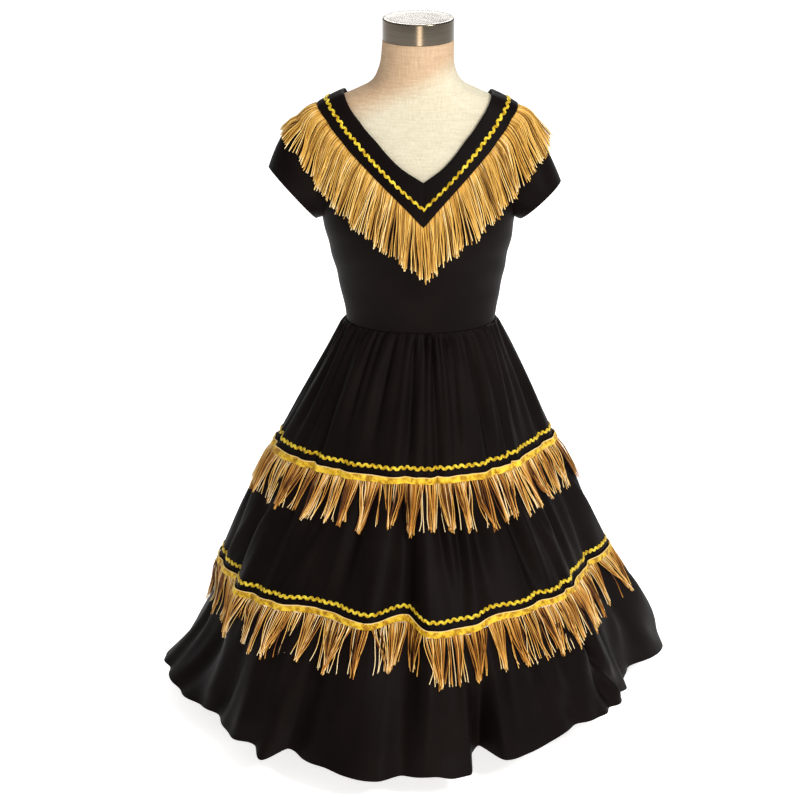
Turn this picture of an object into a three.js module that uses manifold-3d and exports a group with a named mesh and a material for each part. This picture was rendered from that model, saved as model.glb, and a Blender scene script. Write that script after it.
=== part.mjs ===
// Fringed western dress, worn by a limbless dress form on a low pole stand.
// Millimetres, +Z up, the front faces -Y and a viewer's right is +X.
// The origin is the centre of the stand's underside.

import * as THREE from 'three';
import { mergeVertices } from 'three/addons/utils/BufferGeometryUtils.js';
import Module from 'manifold-3d';

const { lerp, clamp, degToRad, radToDeg, euclideanModulo, smoothstep } = THREE.MathUtils;
const QUARTER = Math.PI / 2;

// Clearances and cloth
const SEAM = 0.3;
const WALL = 1.5;
const SKIRT_WALL = 1.8;
const BAND_WALL = 1.2;
const TAPE = 1;
const EASE = 3;
const SHOULDER_EASE = 0.7;
const SHOULDER_SHARE = 0.35;
const SHOULDER_BLEND = { from: 985, to: 1010 };
const WAIST_BLEND = 40;

// Stand and form
const BASE_RADIUS = 150;
const BASE_HEIGHT = 15;
const BASE_EDGE = 3;
const POLE_RADIUS = 16;
const SOCKET_DEPTH = 60;
const FORM_TOP = 1148;
const FORM_SIDES = 32;
const CAP_RADIUS = 57.5;
const CAP_TOP = 1183;
const CAP_EDGE = 2.5;
const EDGE_BULGE = 0.3;
const LATHE_SIDES = { cap: 40, base: 48, pole: 24 };

// Bodice
const WAIST = 680;
const UNDERARM = 858;
const SHOULDER_TIP = 1008;
const ARMHOLE_SCOOP = degToRad(27);
const V_SHIFT = 8;
const YOKE_ROWS = 9;
const SIDE_COLUMNS = 7;
const LOWER_ROWS = 5;
const BAND_COLUMNS = [0, 0.47, 0.75, 1];

// Trims
const NECK_TAPE = { from: 0.5, to: 0.72 };
const NECK_STRIP = { from: 0.945, to: 1 };
const NECK_LOCKS = { front: 12, back: 10 };
const NECK_LOCK_LENGTH = 92;
const NECK_FAN = 0.5;
const LOCK_THICKNESS = 1.6;

// Skirt
const GATHERS = 22;
const SKIRT_COLUMNS = 4 * GATHERS;
const SKIRT_ROUND = 2.1;
const ROW_TAPE = { from: 0.878, to: 0.916 };
const ROW_HEADER = { from: 0.957, to: 0.998 };
const TAPE_LIFT = 0.7;
const LOCK_TIP_LIFT = 6;
const LOCK_WANDER = { reach: 0.3, step: 2.4 };
const LOCK_TIP = [0.75, 1.25];

const COLOURS = {
  cloth: 0x1f1a18,
  tape: 0xd9a92e,
  fringe: 0xc08a3e,
  linen: 0xe6dcc2,
  steel: 0xa9a8a6,
  paint: 0x2b2a29,
};

// Torso sections, from the flat bottom up to the neck
const FORM = table(['height', 'half', 'front', 'back', 'centre', 'round'], [
  [430, 160, 98, 112, 0, 2.1],
  [437, 168, 105, 120, 0, 2.1],
  [500, 172, 104, 125, 0, 2.1],
  [560, 163, 99, 118, 0, 2.1],
  [620, 138, 90, 100, 0, 2.1],
  [680, 118.5, 84, 82, 0, 2.1],
  [735, 127.5, 92, 84, 0, 2.15],
  [780, 136.5, 108, 90, 0, 2.2],
  [825, 147, 122.5, 95, 0, 2.2],
  [850, 151.5, 125, 98, 0, 2.2],
  [875, 155.5, 121, 101, 1, 2.2],
  [900, 159, 112, 102, 2, 2.2],
  [940, 168, 97, 101, 4, 2.2],
  [980, 180, 80, 93, 7, 2.2],
  [1000, 184, 68, 84, 8, 2.1],
  [1012, 182, 62, 77, 8, 2.1],
  [1025, 172, 56, 71, 8, 2],
  [1037, 156, 51, 65, 7, 2],
  [1048, 136, 50, 60, 7, 2],
  [1057, 115, 50, 57, 6, 2],
  [1066, 95, 52, 56, 5, 2],
  [1075, 78, 54, 56, 3, 2],
  [1090, 66, 56, 57, 1, 2],
  [1115, 59, 57, 57, 0, 2],
  [1148, 57.5, 57.5, 57.5, 0, 2],
]);

// The torso leans: its waist sits towards +X and its shoulders towards -X
const WAIST_SHIFT = 5;
const LEAN = table(['height', 'shift'], [
  [430, 0],
  [680, WAIST_SHIFT],
  [760, 4],
  [900, 0],
  [1012, -2],
  [1090, -2],
  [1148, 0],
]);

// Neckline: reach is the share of the shoulder end's distance from the centre line
const NECKLINE_COLUMNS = ['share', 'innerReach', 'innerHeight', 'outerReach', 'outerHeight'];
const FRONT_NECKLINE = table(NECKLINE_COLUMNS, [
  [0, 0, 934, 0, 869],
  [0.25, 0.29, 955.5, 0.26, 910],
  [0.5, 0.555, 986, 0.527, 951],
  [0.75, 0.8, 1019, 0.78, 992],
  [0.9, 0.926, 1040, 0.921, 1020],
  [1, 1, 1056, 1, 1035],
]);
const BACK_NECKLINE = table(NECKLINE_COLUMNS, [
  [0, 0, 1003, 0, 950],
  [0.25, 0.35, 1004, 0.36, 953],
  [0.5, 0.66, 1011, 0.68, 966],
  [0.75, 0.88, 1029, 0.9, 996],
  [1, 1, 1056, 1, 1035],
]);

// Skirt sections: drop counts the tiers from the waist seam to the hem
const SKIRT = table(['drop', 'height', 'half', 'front', 'back'], [
  [0, 680, 122.5, 88.5, 86.5],
  [0.2, 640, 147, 111, 111],
  [0.55, 560, 191, 142, 145],
  [1, 452, 242, 176, 184],
  [1.5, 345, 293, 236, 243],
  [2, 238, 344, 300, 304],
  [2.5, 140, 394, 368, 366],
  [3, 42, 440, 425, 420],
]);

// The gathers wander round the skirt in a few slow waves
const WANDER = [
  { waves: 3, share: 0.006, start: 0.8 },
  { waves: 7, share: 0.004, start: 2 },
];

// Radial depth of the gathers down the skirt
const GATHER_DEPTH = table(['drop', 'depth'], [
  [0, 1.5],
  [0.3, 4],
  [0.6, 4.5],
  [0.87, 3],
  [1, 2],
  [1.38, 5],
  [1.87, 3.5],
  [2, 2],
  [2.4, 5],
  [2.7, 4.5],
  [3, 3.5],
]);

// Large folds round the skirt: how far each seam and the hem stand out and are lifted
const FOLDS = table(['turn', 'firstOut', 'secondOut', 'hemOut', 'secondLift', 'hemLift'], [
  [-165, -2, -24, -42, 8, 5],
  [-150, 0, 4, 2, 4, 0],
  [-136, -6, -22, -38, 8, 5],
  [-120, -2, -2, 0, 3, 0],
  [-108, -3, -10, -14, 3, 2],
  [-95, 0, -4, -5, 0, 5],
  [-84, -3, -16, -15, 1, 6],
  [-75, -6, -27, -24, 2, 4],
  [-65, -14, -8, -52, 4, 8],
  [-54, -15, -12, -40, 8, 12],
  [-45, -12, -12, -26, 10, 9],
  [-40, -9, -18, -24, 12, 9],
  [-36, -8, -26, -2, 13, 0],
  [-32, -6, -21, -36, 13, 13],
  [-27, -4, -12, -22, 12, 8],
  [-21.5, -2, -2, -9, 11, 10],
  [-16, -1, 6, 2, 10, 4],
  [-9, 0, -14, 9, 14, 0],
  [-3, 0, -24, -22, 15, 0],
  [3.5, 0, 20, -6, 5, 5],
  [8, 0, 18, -2, 4, 0],
  [11.5, 0, 13, -8, 4, 1],
  [14.3, -1, 9, -80, 5, 8],
  [17, -2, 6, -96, 7, 12],
  [21, -3, -2, -36, 11, 10],
  [27, -6, -12, -30, 13, 16],
  [33, -9, -17, -37, 14, 29],
  [38, -12, -21, -43, 15, 34],
  [46, -20, -27, -51, 14, 32],
  [54, -28, -34, -47, 12, 29],
  [58, -31, -39, -53, 11, 27],
  [62, -35, -45, -68, 9, 27],
  [66, -38, -51, -70, 8, 24],
  [71, -40, -55, -66, 7, 18],
  [78, -40, -60, -84, 4, 13],
  [85, -31, -53, -76, 2, 14],
  [93, -16, -32, -34, 0, 11],
  [101, -4, -6, 0, 0, 6],
  [116, 0, 6, 8, 2, 0],
  [131, -4, -20, -36, 8, 5],
  [146, 0, 4, 2, 4, 0],
  [160, -4, -14, -30, 8, 4],
  [178, 0, 8, 4, 3, 0],
], 360);

// How far the middle of each tier stands out between its seams
const MIDDLES = table(['turn', 'first', 'second', 'third'], [
  [-150, 0, 0, 0],
  [-120, -3, 1, -8],
  [-95, -10, 3, -27],
  [-80, -10, 3, -30],
  [-62, -5, 1, -13],
  [-45, 0, 0, 0],
  [60, 0, 0, 0],
  [92, -3, 3, 6],
  [115, -2, 2, 4],
  [150, 0, 0, 0],
], 360);

// Sleeves: the hem's highest point, the rise of the crown, and how far the hem is lifted
// in front and sags behind
const SLEEVES = [
  { name: 'sleeve_left', side: 1, topReach: 232, topHeight: 913, crown: 14, lift: 10, sag: 16 },
  { name: 'sleeve_right', side: -1, topReach: 242, topHeight: 936, crown: 46, lift: 14, sag: 4 },
];
const SLEEVE_LOW = { reach: 166, height: 850 };
const SLEEVE_HALF_DEPTH = 62;
const SLEEVE_CENTRE = 5;
const SLEEVE_BULGE = 0.12;
const SLEEVE_RINGS = [0, 0.2, 0.45, 0.72, 1];

// Tables with named columns; the first column is the place that is looked up
function table(columns, rows, period = 0) {
  const shifted = (turns) => rows.map(([at, ...values]) => [at + turns * period, ...values]);
  return { columns, rows: period ? [...shifted(-1), ...rows, ...shifted(1)] : rows };
}

function read({ columns, rows }, column, at) {
  const c = columns.indexOf(column);
  let i = 0;
  while (i < rows.length - 2 && rows[i + 1][0] < at) i += 1;
  const step = (k) => (rows[k + 1][c] - rows[k][c]) / (rows[k + 1][0] - rows[k][0]);
  const slope = (k) => {
    if (k === 0) return step(0);
    if (k === rows.length - 1) return step(k - 1);
    const before = step(k - 1);
    const after = step(k);
    return before * after > 0 ? (2 * before * after) / (before + after) : 0;
  };
  const span = rows[i + 1][0] - rows[i][0];
  const t = clamp((at - rows[i][0]) / span, 0, 1);
  const ease = t * t * (3 - 2 * t);
  const bend = t * (1 - t) * span;
  return lerp(rows[i][c], rows[i + 1][c], ease) + bend * ((1 - t) * slope(i) - t * slope(i + 1));
}

// A site is a point on a piece's inner face with the direction that its wall grows in
function site(point, normal) {
  return { point, normal };
}

function between(a, b, t) {
  const normal = a.normal.clone().lerp(b.normal, t).normalize();
  return site(a.point.clone().lerp(b.point, t), normal);
}

function raised({ point, normal }, lift) {
  return point.clone().addScaledVector(normal, lift);
}

// A sheet is an open surface of sites; its facets face along their sites' normals
class Sheet {
  sites = [];
  faces = [];
  known = new Map();

  index(at) {
    const key = at.point.toArray().map((value) => Math.round(value * 1000)).join();
    if (!this.known.has(key)) {
      this.known.set(key, this.sites.length);
      this.sites.push(at);
    }
    return this.known.get(key);
  }

  addFace(corners) {
    const [a, b, c] = corners.map((at) => at.point);
    const facing = b.clone().sub(a).cross(c.clone().sub(a));
    const normals = corners.reduce((sum, at) => sum.add(at.normal), new THREE.Vector3());
    const order = facing.dot(normals) > 0 ? corners : [...corners].reverse();
    this.faces.push(order.map((at) => this.index(at)));
  }

  // Each four-sided facet is split along its inner diagonal, so what lies on it stays clear
  addGrid(rows, columns, place) {
    for (let i = 0; i < rows; i += 1) {
      for (let j = 0; j < columns; j += 1) {
        const [a, b, c, d] = [place(i, j), place(i, j + 1), place(i + 1, j + 1), place(i + 1, j)];
        const rise = a.point.clone().add(c.point).sub(b.point).sub(d.point).dot(a.normal);
        if (rise < 0) {
          this.addFace([a, b, c]);
          this.addFace([a, c, d]);
        } else {
          this.addFace([b, c, d]);
          this.addFace([b, d, a]);
        }
      }
    }
    return this;
  }
}

// Locks grow out of the sheet's border: root holds three border sites in the border's order,
// and each station has the four corners first-outer, last-outer, last-inner, first-inner
function addLock(positions, indices, borders, count, { root, stations }) {
  const [p0, p1, p2] = root;
  borders.delete(`${p0},${p1}`);
  borders.delete(`${p1},${p2}`);
  const rings = stations.map((corners) => corners.map((corner) => positions.push(corner) - 1));
  const [t0, t1, i1, i0] = rings[0];
  indices.push(p1, p0, t0, p1, t0, t1, p2, p1, t1);
  indices.push(p0 + count, p1 + count, i0, p1 + count, i1, i0, p1 + count, p2 + count, i1);
  indices.push(t0, p0, p0 + count, t0, p0 + count, i0);
  indices.push(p2, t1, i1, p2, i1, p2 + count);
  for (let k = 1; k < rings.length; k += 1) {
    for (let side = 0; side < 4; side += 1) {
      const next = (side + 1) % 4;
      const [a, b] = [rings[k - 1][side], rings[k - 1][next]];
      indices.push(b, a, rings[k][side], b, rings[k][side], rings[k][next]);
    }
  }
  const [e0, e1, f1, f0] = rings[rings.length - 1];
  indices.push(e1, e0, f0, e1, f0, f1);
}

function thicken(sheet, low, high, locks = []) {
  const count = sheet.sites.length;
  const positions = [];
  for (const lift of [high, low]) {
    for (const at of sheet.sites) positions.push(raised(at, lift));
  }
  const indices = [];
  const borders = new Map();
  for (const [a, b, c] of sheet.faces) {
    indices.push(a, b, c, a + count, c + count, b + count);
    for (const [p, q] of [[a, b], [b, c], [c, a]]) {
      if (!borders.delete(`${q},${p}`)) borders.set(`${p},${q}`, [p, q]);
    }
  }
  for (const lock of locks) addLock(positions, indices, borders, count, lock);
  for (const [p, q] of borders.values()) {
    indices.push(q, p, p + count, q, p + count, q + count);
  }
  return solid(positions, indices);
}

function solid(positions, indices) {
  const geometry = new THREE.BufferGeometry();
  const flat = positions.flatMap((point) => point.toArray());
  geometry.setAttribute('position', new THREE.Float32BufferAttribute(flat, 3));
  geometry.setIndex(indices);
  return geometry;
}

// Torso surface: turn is measured from the front centre towards +X
function torsoPoint(turn, height) {
  const depth = read(FORM, Math.cos(turn) > 0 ? 'front' : 'back', height);
  const power = 2 / read(FORM, 'round', height);
  const curve = (value) => Math.sign(value) * Math.abs(value) ** power;
  const x = read(LEAN, 'shift', height) + read(FORM, 'half', height) * curve(Math.sin(turn));
  const y = read(FORM, 'centre', height) - depth * curve(Math.cos(turn));
  return new THREE.Vector3(x, y, height);
}

function torsoNormal(turn, height) {
  const step = 0.01;
  const along = torsoPoint(turn + step, height).sub(torsoPoint(turn - step, height));
  const up = torsoPoint(turn, height + 1).sub(torsoPoint(turn, height - 1));
  return along.cross(up).normalize();
}

function turnAt(x, height) {
  const away = x - read(LEAN, 'shift', height);
  const share = Math.min(1, Math.abs(away) / read(FORM, 'half', height));
  return Math.sign(away) * Math.asin(share ** (read(FORM, 'round', height) / 2));
}

// The bodice hangs on the shoulder line and stands a little further off elsewhere
function easeAt(turn, height) {
  const offShoulder = clamp(Math.abs(Math.cos(turn)) / SHOULDER_SHARE, 0, 1);
  const shoulder = lerp(SHOULDER_EASE, EASE, offShoulder);
  return lerp(EASE, shoulder, smoothstep(height, SHOULDER_BLEND.from, SHOULDER_BLEND.to));
}

function clothSite(face, turn, height) {
  const around = face.back ? Math.PI - turn : turn;
  const normal = torsoNormal(around, height);
  const point = torsoPoint(around, height).addScaledVector(normal, easeAt(around, height));
  normal.z *= smoothstep(height, WAIST, WAIST + WAIST_BLEND);
  point.y += face.back ? SEAM / 2 : -SEAM / 2;
  return site(point, normal.normalize());
}

// Yoke: share runs from the centre line to the shoulder,
// across runs over the band from 0 to 1 and on to the armhole at 2
function bandEdge(face, side, row, edge) {
  const share = Math.sin((row / YOKE_ROWS) * QUARTER);
  const height = read(face.neckline, `${edge}Height`, share);
  const shoulder = read(FORM, 'half', read(face.neckline, `${edge}Height`, 1));
  const reach = side * shoulder * read(face.neckline, `${edge}Reach`, share);
  return { x: reach + face.shift * (1 - share), height };
}

function yokePlace(face, side, row, across) {
  const outer = bandEdge(face, side, row, 'outer');
  if (across <= 1) {
    const inner = bandEdge(face, side, row, 'inner');
    const height = lerp(inner.height, outer.height, across);
    return { turn: turnAt(lerp(inner.x, outer.x, across), height), height };
  }
  const angle = (row / YOKE_ROWS) * Math.PI;
  const armTurn = side * (QUARTER - ARMHOLE_SCOOP * Math.sin(angle));
  const armHeight = lerp(UNDERARM, SHOULDER_TIP, (1 - Math.cos(angle)) / 2);
  const t = across - 1;
  const dip = (1 - row / YOKE_ROWS) * t * (1 - t);
  return {
    turn: lerp(turnAt(outer.x, outer.height), armTurn, t),
    height: lerp(outer.height, armHeight, t + dip),
  };
}

function yokeSite(face, side, row, across) {
  const { turn, height } = yokePlace(face, side, row, across);
  return clothSite(face, row === YOKE_ROWS ? side * QUARTER : turn, height);
}

// Between the yoke's own rows and columns the facets are straight
function yokeFacetSite(face, side, row, across) {
  const low = Math.min(Math.floor(row), YOKE_ROWS - 1);
  const columns = [...BAND_COLUMNS, 1 + 1 / SIDE_COLUMNS];
  let c = 0;
  while (c < columns.length - 2 && columns[c + 1] < across) c += 1;
  const t = (across - columns[c]) / (columns[c + 1] - columns[c]);
  const onRow = (r) => {
    return between(yokeSite(face, side, r, columns[c]), yokeSite(face, side, r, columns[c + 1]), t);
  };
  return between(onRow(low), onRow(low + 1), row - low);
}

function bodiceSheet(face) {
  const sheet = new Sheet();
  const upper = [...BAND_COLUMNS];
  for (let j = 1; j <= SIDE_COLUMNS; j += 1) upper.push(1 + j / SIDE_COLUMNS);
  for (const side of [-1, 1]) {
    sheet.addGrid(YOKE_ROWS, upper.length - 1, (i, j) => yokeSite(face, side, i, upper[j]));
    sheet.addGrid(LOWER_ROWS, SIDE_COLUMNS, (i, j) => {
      const top = yokePlace(face, side, 0, 1 + j / SIDE_COLUMNS);
      const down = i / LOWER_ROWS;
      const waistTurn = side * QUARTER * (j / SIDE_COLUMNS);
      const turn = lerp(top.turn, waistTurn, down);
      return clothSite(face, turn, lerp(top.height, WAIST + SEAM / 2, down));
    });
  }
  return sheet;
}

const FRONT = { back: false, neckline: FRONT_NECKLINE, shift: V_SHIFT };
const BACK = { back: true, neckline: BACK_NECKLINE, shift: 0 };

// Layers on the bodice: fringe strip, band and tape, each a seam's gap apart
const STRIP_LIFT = WALL + 0.8;
const BAND_LIFT = STRIP_LIFT + TAPE + 2 * SEAM;
const NECK_TAPE_LIFT = BAND_LIFT + BAND_WALL + SEAM;

function neckband(face) {
  const sheet = new Sheet();
  for (const side of [-1, 1]) {
    const place = (i, j) => yokeSite(face, side, i, BAND_COLUMNS[j]);
    sheet.addGrid(YOKE_ROWS, BAND_COLUMNS.length - 1, place);
  }
  return thicken(sheet, BAND_LIFT, BAND_LIFT + BAND_WALL);
}

// The neck trims run once round: front +X side, back +X side, back -X side, front -X side
const NECK_RUNS = [
  { face: FRONT, side: 1, from: 0, to: YOKE_ROWS },
  { face: BACK, side: 1, from: YOKE_ROWS, to: 0 },
  { face: BACK, side: -1, from: 0, to: YOKE_ROWS },
  { face: FRONT, side: -1, from: YOKE_ROWS, to: 0 },
];

// On the shoulder line both panels' sites meet halfway
function neckSite(run, row, across) {
  const at = yokeFacetSite(run.face, run.side, row, across);
  const shoulder = Math.min(1, YOKE_ROWS - row);
  at.point.y += (run.face.back ? -SEAM / 2 : SEAM / 2) * (1 - shoulder);
  return at;
}

function neckTape() {
  const sheet = new Sheet();
  const widths = [NECK_TAPE.from, NECK_TAPE.to];
  for (const run of NECK_RUNS) {
    sheet.addGrid(YOKE_ROWS, 1, (i, j) => neckSite(run, i, widths[j]));
  }
  return thicken(sheet, NECK_TAPE_LIFT, NECK_TAPE_LIFT + TAPE);
}

// Draping: a lock's corner slides down from its root and stays clear of what it lies on
const caster = new THREE.Raycaster();
const DRAPE_REACH = 90;

function drape(start, normal, down, length, clearance, carriers) {
  const point = start.clone().addScaledVector(down, length);
  const origin = point.clone().addScaledVector(normal, DRAPE_REACH);
  caster.set(origin, normal.clone().negate());
  const [hit] = caster.intersectObjects(carriers);
  const hang = -length * Math.max(0, normal.z + 0.05);
  const lift = hit ? DRAPE_REACH - hit.distance + clearance : hang;
  return point.addScaledVector(normal, Math.max(lift, hang));
}

const NECK_STATIONS = table(['share', 'taper', 'clearance'], [
  [0.25, 0.1, 6],
  [0.5, 0.16, 5],
  [0.75, 0.25, 4.5],
  [1, 0.45, 5],
]);

function neckLock(sheet, columns, carriers) {
  const root = columns.map((column) => sheet.index(column.low));
  const middle = columns[1].low;
  const { normal } = middle;
  const { run, row } = columns[1];
  const away = Math.sin((row / YOKE_ROWS) * QUARTER);
  const pull = new THREE.Vector3(run.side * NECK_FAN * away, 0, -1);
  const down = pull.addScaledVector(normal, -pull.dot(normal)).normalize();
  const stations = NECK_STATIONS.rows.map(([share, taper, clearance]) => {
    const corner = (column) => {
      const start = column.low.point.clone().lerp(middle.point, taper).addScaledVector(normal, STRIP_LIFT);
      return drape(start, normal, down, share * NECK_LOCK_LENGTH, clearance, carriers);
    };
    const [first, last] = [corner(columns[0]), corner(columns[2])];
    const outward = (point) => point.clone().addScaledVector(normal, LOCK_THICKNESS);
    return [outward(first), outward(last), last, first];
  });
  return { root, stations };
}

function neckFringe(carriers) {
  const sheet = new Sheet();
  const columns = [];
  for (const run of NECK_RUNS) {
    const total = 2 * (run.face.back ? NECK_LOCKS.back : NECK_LOCKS.front);
    for (let half = 0; half < total; half += 1) {
      const row = lerp(run.from, run.to, half / total);
      const high = neckSite(run, row, NECK_STRIP.from);
      const low = neckSite(run, row, NECK_STRIP.to);
      columns.push({ high, low, run, row });
    }
  }
  const count = columns.length;
  sheet.addGrid(1, count, (i, j) => (i ? columns[j % count].low : columns[j % count].high));
  const locks = [];
  for (let c = 0; c < count; c += 2) {
    locks.push(neckLock(sheet, [columns[c], columns[c + 1], columns[(c + 2) % count]], carriers));
  }
  return thicken(sheet, STRIP_LIFT, STRIP_LIFT + TAPE, locks);
}

// Sleeve: rings run from the armhole to the hem, round from the underarm by the front
function armholeSite(side, k) {
  const loop = 2 * YOKE_ROWS;
  const row = k <= YOKE_ROWS ? k : loop - k;
  const face = k > 0 && k < YOKE_ROWS ? FRONT : BACK;
  const at = yokeSite(face, side, row, 2);
  if (row === 0 || row === YOKE_ROWS) at.point.y -= SEAM / 2;
  return site(raised(at, WALL + SEAM), at.normal);
}

function sleeve({ side, topReach, topHeight, crown, lift, sag }) {
  const loop = 2 * YOKE_ROWS;
  const armhole = [];
  for (let k = 0; k < loop; k += 1) armhole.push(armholeSite(side, k));
  const middle = new THREE.Vector3();
  for (const at of armhole) middle.addScaledVector(at.point, 1 / loop);

  const surface = (t, k) => {
    const angle = (k / YOKE_ROWS) * Math.PI;
    const rise = (1 - Math.cos(angle)) / 2;
    const low = armhole[Math.floor(k + loop) % loop];
    const high = armhole[Math.ceil(k + loop) % loop];
    const start = low.point.clone().lerp(high.point, k - Math.floor(k));
    const front = Math.sin(angle);
    const depth = -front * SLEEVE_HALF_DEPTH;
    const hem = new THREE.Vector3(
      side * lerp(SLEEVE_LOW.reach, topReach, rise),
      SLEEVE_CENTRE + depth,
      lerp(SLEEVE_LOW.height, topHeight, rise) + (front > 0 ? lift : sag) * front,
    );
    const control = start.clone().lerp(hem, 0.5);
    control.z += crown * rise;
    control.y += SLEEVE_BULGE * depth;
    const early = start.clone().lerp(control, t);
    return early.lerp(control.lerp(hem, t), t);
  };

  const place = (i, j) => {
    const k = j % loop;
    const t = SLEEVE_RINGS[i];
    const point = surface(t, k);
    if (i === 0) {
      const away = point.clone().sub(middle);
      away.addScaledVector(armhole[k].normal, -away.dot(armhole[k].normal));
      return site(point, away.normalize());
    }
    const along = surface(t, k + 0.5).sub(surface(t, k - 0.5));
    const out = surface(Math.min(1, t + 0.05), k).sub(surface(Math.max(0, t - 0.05), k));
    return site(point, out.cross(along).multiplyScalar(side).normalize());
  };
  return thicken(new Sheet().addGrid(SLEEVE_RINGS.length - 1, loop, place), 0, WALL);
}

// Skirt: u is the share of the way round, drop the place down the tiers
function foldAt(degrees, names, drop) {
  const stops = [0, ...names.map((name) => (name ? read(FOLDS, name, degrees) : 0))];
  const along = table(['drop', 'value'], stops.map((value, tier) => [tier, value]));
  return read(along, 'value', drop);
}

function skirtPoint(u, drop) {
  const wander = WANDER.reduce((sum, { waves, share, start }) => {
    return sum + share * Math.sin(2 * Math.PI * waves * u + start);
  }, 0);
  const turn = 2 * Math.PI * (u + wander);
  const half = read(SKIRT, 'half', drop);
  const depth = read(SKIRT, Math.cos(turn) > 0 ? 'front' : 'back', drop);
  const across = Math.abs(Math.sin(turn) / half) ** SKIRT_ROUND
    + Math.abs(Math.cos(turn) / depth) ** SKIRT_ROUND;
  const gather = read(GATHER_DEPTH, 'depth', drop) * Math.cos(2 * Math.PI * GATHERS * u);
  const degrees = euclideanModulo(radToDeg(turn) + 180, 360) - 180;
  const tier = Math.min(2, Math.floor(drop));
  const bulge = read(MIDDLES, ['first', 'second', 'third'][tier], degrees);
  const middle = bulge * Math.sin(Math.PI * (drop - tier));
  const fold = foldAt(degrees, ['firstOut', 'secondOut', 'hemOut'], drop);
  const radius = across ** (-1 / SKIRT_ROUND) + gather + middle + fold;
  const height = read(SKIRT, 'height', drop) + foldAt(degrees, ['', 'secondLift', 'hemLift'], drop);
  const shift = WAIST_SHIFT * Math.max(0, 1 - drop) ** 2;
  return new THREE.Vector3(shift + radius * Math.sin(turn), -radius * Math.cos(turn), height);
}

function skirtSite(column, drop, lift = 0) {
  const u = column / SKIRT_COLUMNS;
  const step = 0.5 / SKIRT_COLUMNS;
  const along = skirtPoint(u + step, drop).sub(skirtPoint(u - step, drop));
  const point = skirtPoint(u, drop);
  point.z += lift;
  return site(point, new THREE.Vector3(along.y, -along.x, 0).normalize());
}

const TIER_DROPS = [
  [0, 0.3, 0.6, 0.87, 1],
  [1, 1.38, 1.87, 2],
  [2, 2.4, 2.7, 3],
];

// Each tier ends half a seam's gap short of the seams above and below it
function tierSite(tier, row, column) {
  const drops = TIER_DROPS[tier];
  const top = row === 0 ? -SEAM / 2 : 0;
  const bottom = row === drops.length - 1 && tier < 2 ? SEAM / 2 : 0;
  return skirtSite(column % SKIRT_COLUMNS, drops[row], top + bottom);
}

function tierGeometry(tier) {
  const rows = TIER_DROPS[tier].length - 1;
  const place = (i, j) => tierSite(tier, i, j);
  return thicken(new Sheet().addGrid(rows, SKIRT_COLUMNS, place), 0, SKIRT_WALL);
}

// A place on a tier's straight facets, at a share of the column and of one row's height
function tierFacetSite(tier, row, share, column) {
  const low = Math.floor(column);
  const onColumn = (c) => between(tierSite(tier, row, c), tierSite(tier, row + 1, c), share);
  return between(onColumn(low), onColumn(low + 1), column - low);
}

// Trims lie on the last row of a tier's facets, just above its seam
function trimSite(tier, drop, column) {
  const drops = TIER_DROPS[tier];
  const row = drops.length - 2;
  const start = drops[row];
  const share = (tier + drop - start) / (drops[row + 1] - start);
  return tierFacetSite(tier, row, share, column);
}

function rowTape(tier) {
  const edges = [ROW_TAPE.from, ROW_TAPE.to];
  const sheet = new Sheet();
  sheet.addGrid(1, SKIRT_COLUMNS, (i, j) => trimSite(tier, edges[i], j % SKIRT_COLUMNS));
  const lift = SKIRT_WALL + TAPE_LIFT;
  return thicken(sheet, lift, lift + TAPE);
}

// Row fringe: one lock for every two columns, drawn to a point over the tier below
function rowFringe(tier) {
  const sheet = new Sheet();
  const edges = [ROW_HEADER.from, ROW_HEADER.to];
  const place = (i, j) => trimSite(tier, edges[i], j % SKIRT_COLUMNS);
  sheet.addGrid(1, SKIRT_COLUMNS, place);
  const locks = [];
  for (let lock = 0; lock < SKIRT_COLUMNS / 2; lock += 1) {
    const root = [0, 1, 2].map((part) => sheet.index(place(1, 2 * lock + part)));
    const wander = LOCK_WANDER.reach * Math.sin(LOCK_WANDER.step * lock + tier);
    const [first, last] = LOCK_TIP.map((part) => {
      return tierFacetSite(tier + 1, 0, 1, 2 * lock + part + wander);
    });
    const inner = SKIRT_WALL + LOCK_TIP_LIFT;
    const outer = inner + LOCK_THICKNESS;
    const corners = [raised(first, outer), raised(last, outer), raised(last, inner), raised(first, inner)];
    locks.push({ root, stations: [corners] });
  }
  const lift = SKIRT_WALL + TAPE_LIFT;
  return thicken(sheet, lift, lift + TAPE, locks);
}

// Form: rings of the torso's sections, closed flat below and above, with a socket for the pole
async function formGeometry() {
  const positions = [];
  const indices = [];
  const heights = FORM.rows.map(([height]) => height);
  const bottom = heights[0];
  for (const height of heights) {
    for (let k = 0; k < FORM_SIDES; k += 1) {
      positions.push(torsoPoint((2 * Math.PI * k) / FORM_SIDES, height));
    }
  }
  for (let i = 0; i < heights.length - 1; i += 1) {
    for (let k = 0; k < FORM_SIDES; k += 1) {
      const next = (k + 1) % FORM_SIDES;
      const [a, b] = [i * FORM_SIDES + k, i * FORM_SIDES + next];
      indices.push(a, b, b + FORM_SIDES, a, b + FORM_SIDES, a + FORM_SIDES);
    }
  }
  const low = positions.push(new THREE.Vector3(0, 0, bottom)) - 1;
  const high = positions.push(new THREE.Vector3(0, 0, FORM_TOP)) - 1;
  const top = (heights.length - 1) * FORM_SIDES;
  for (let k = 0; k < FORM_SIDES; k += 1) {
    const next = (k + 1) % FORM_SIDES;
    indices.push(low, next, k, high, top + k, top + next);
  }
  const bore = POLE_RADIUS + SEAM;
  const socket = new THREE.CylinderGeometry(bore, bore, 2 * SOCKET_DEPTH, LATHE_SIDES.pole);
  socket.rotateX(QUARTER);
  socket.translate(0, 0, bottom);
  return subtract(solid(positions, indices), socket);
}

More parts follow.
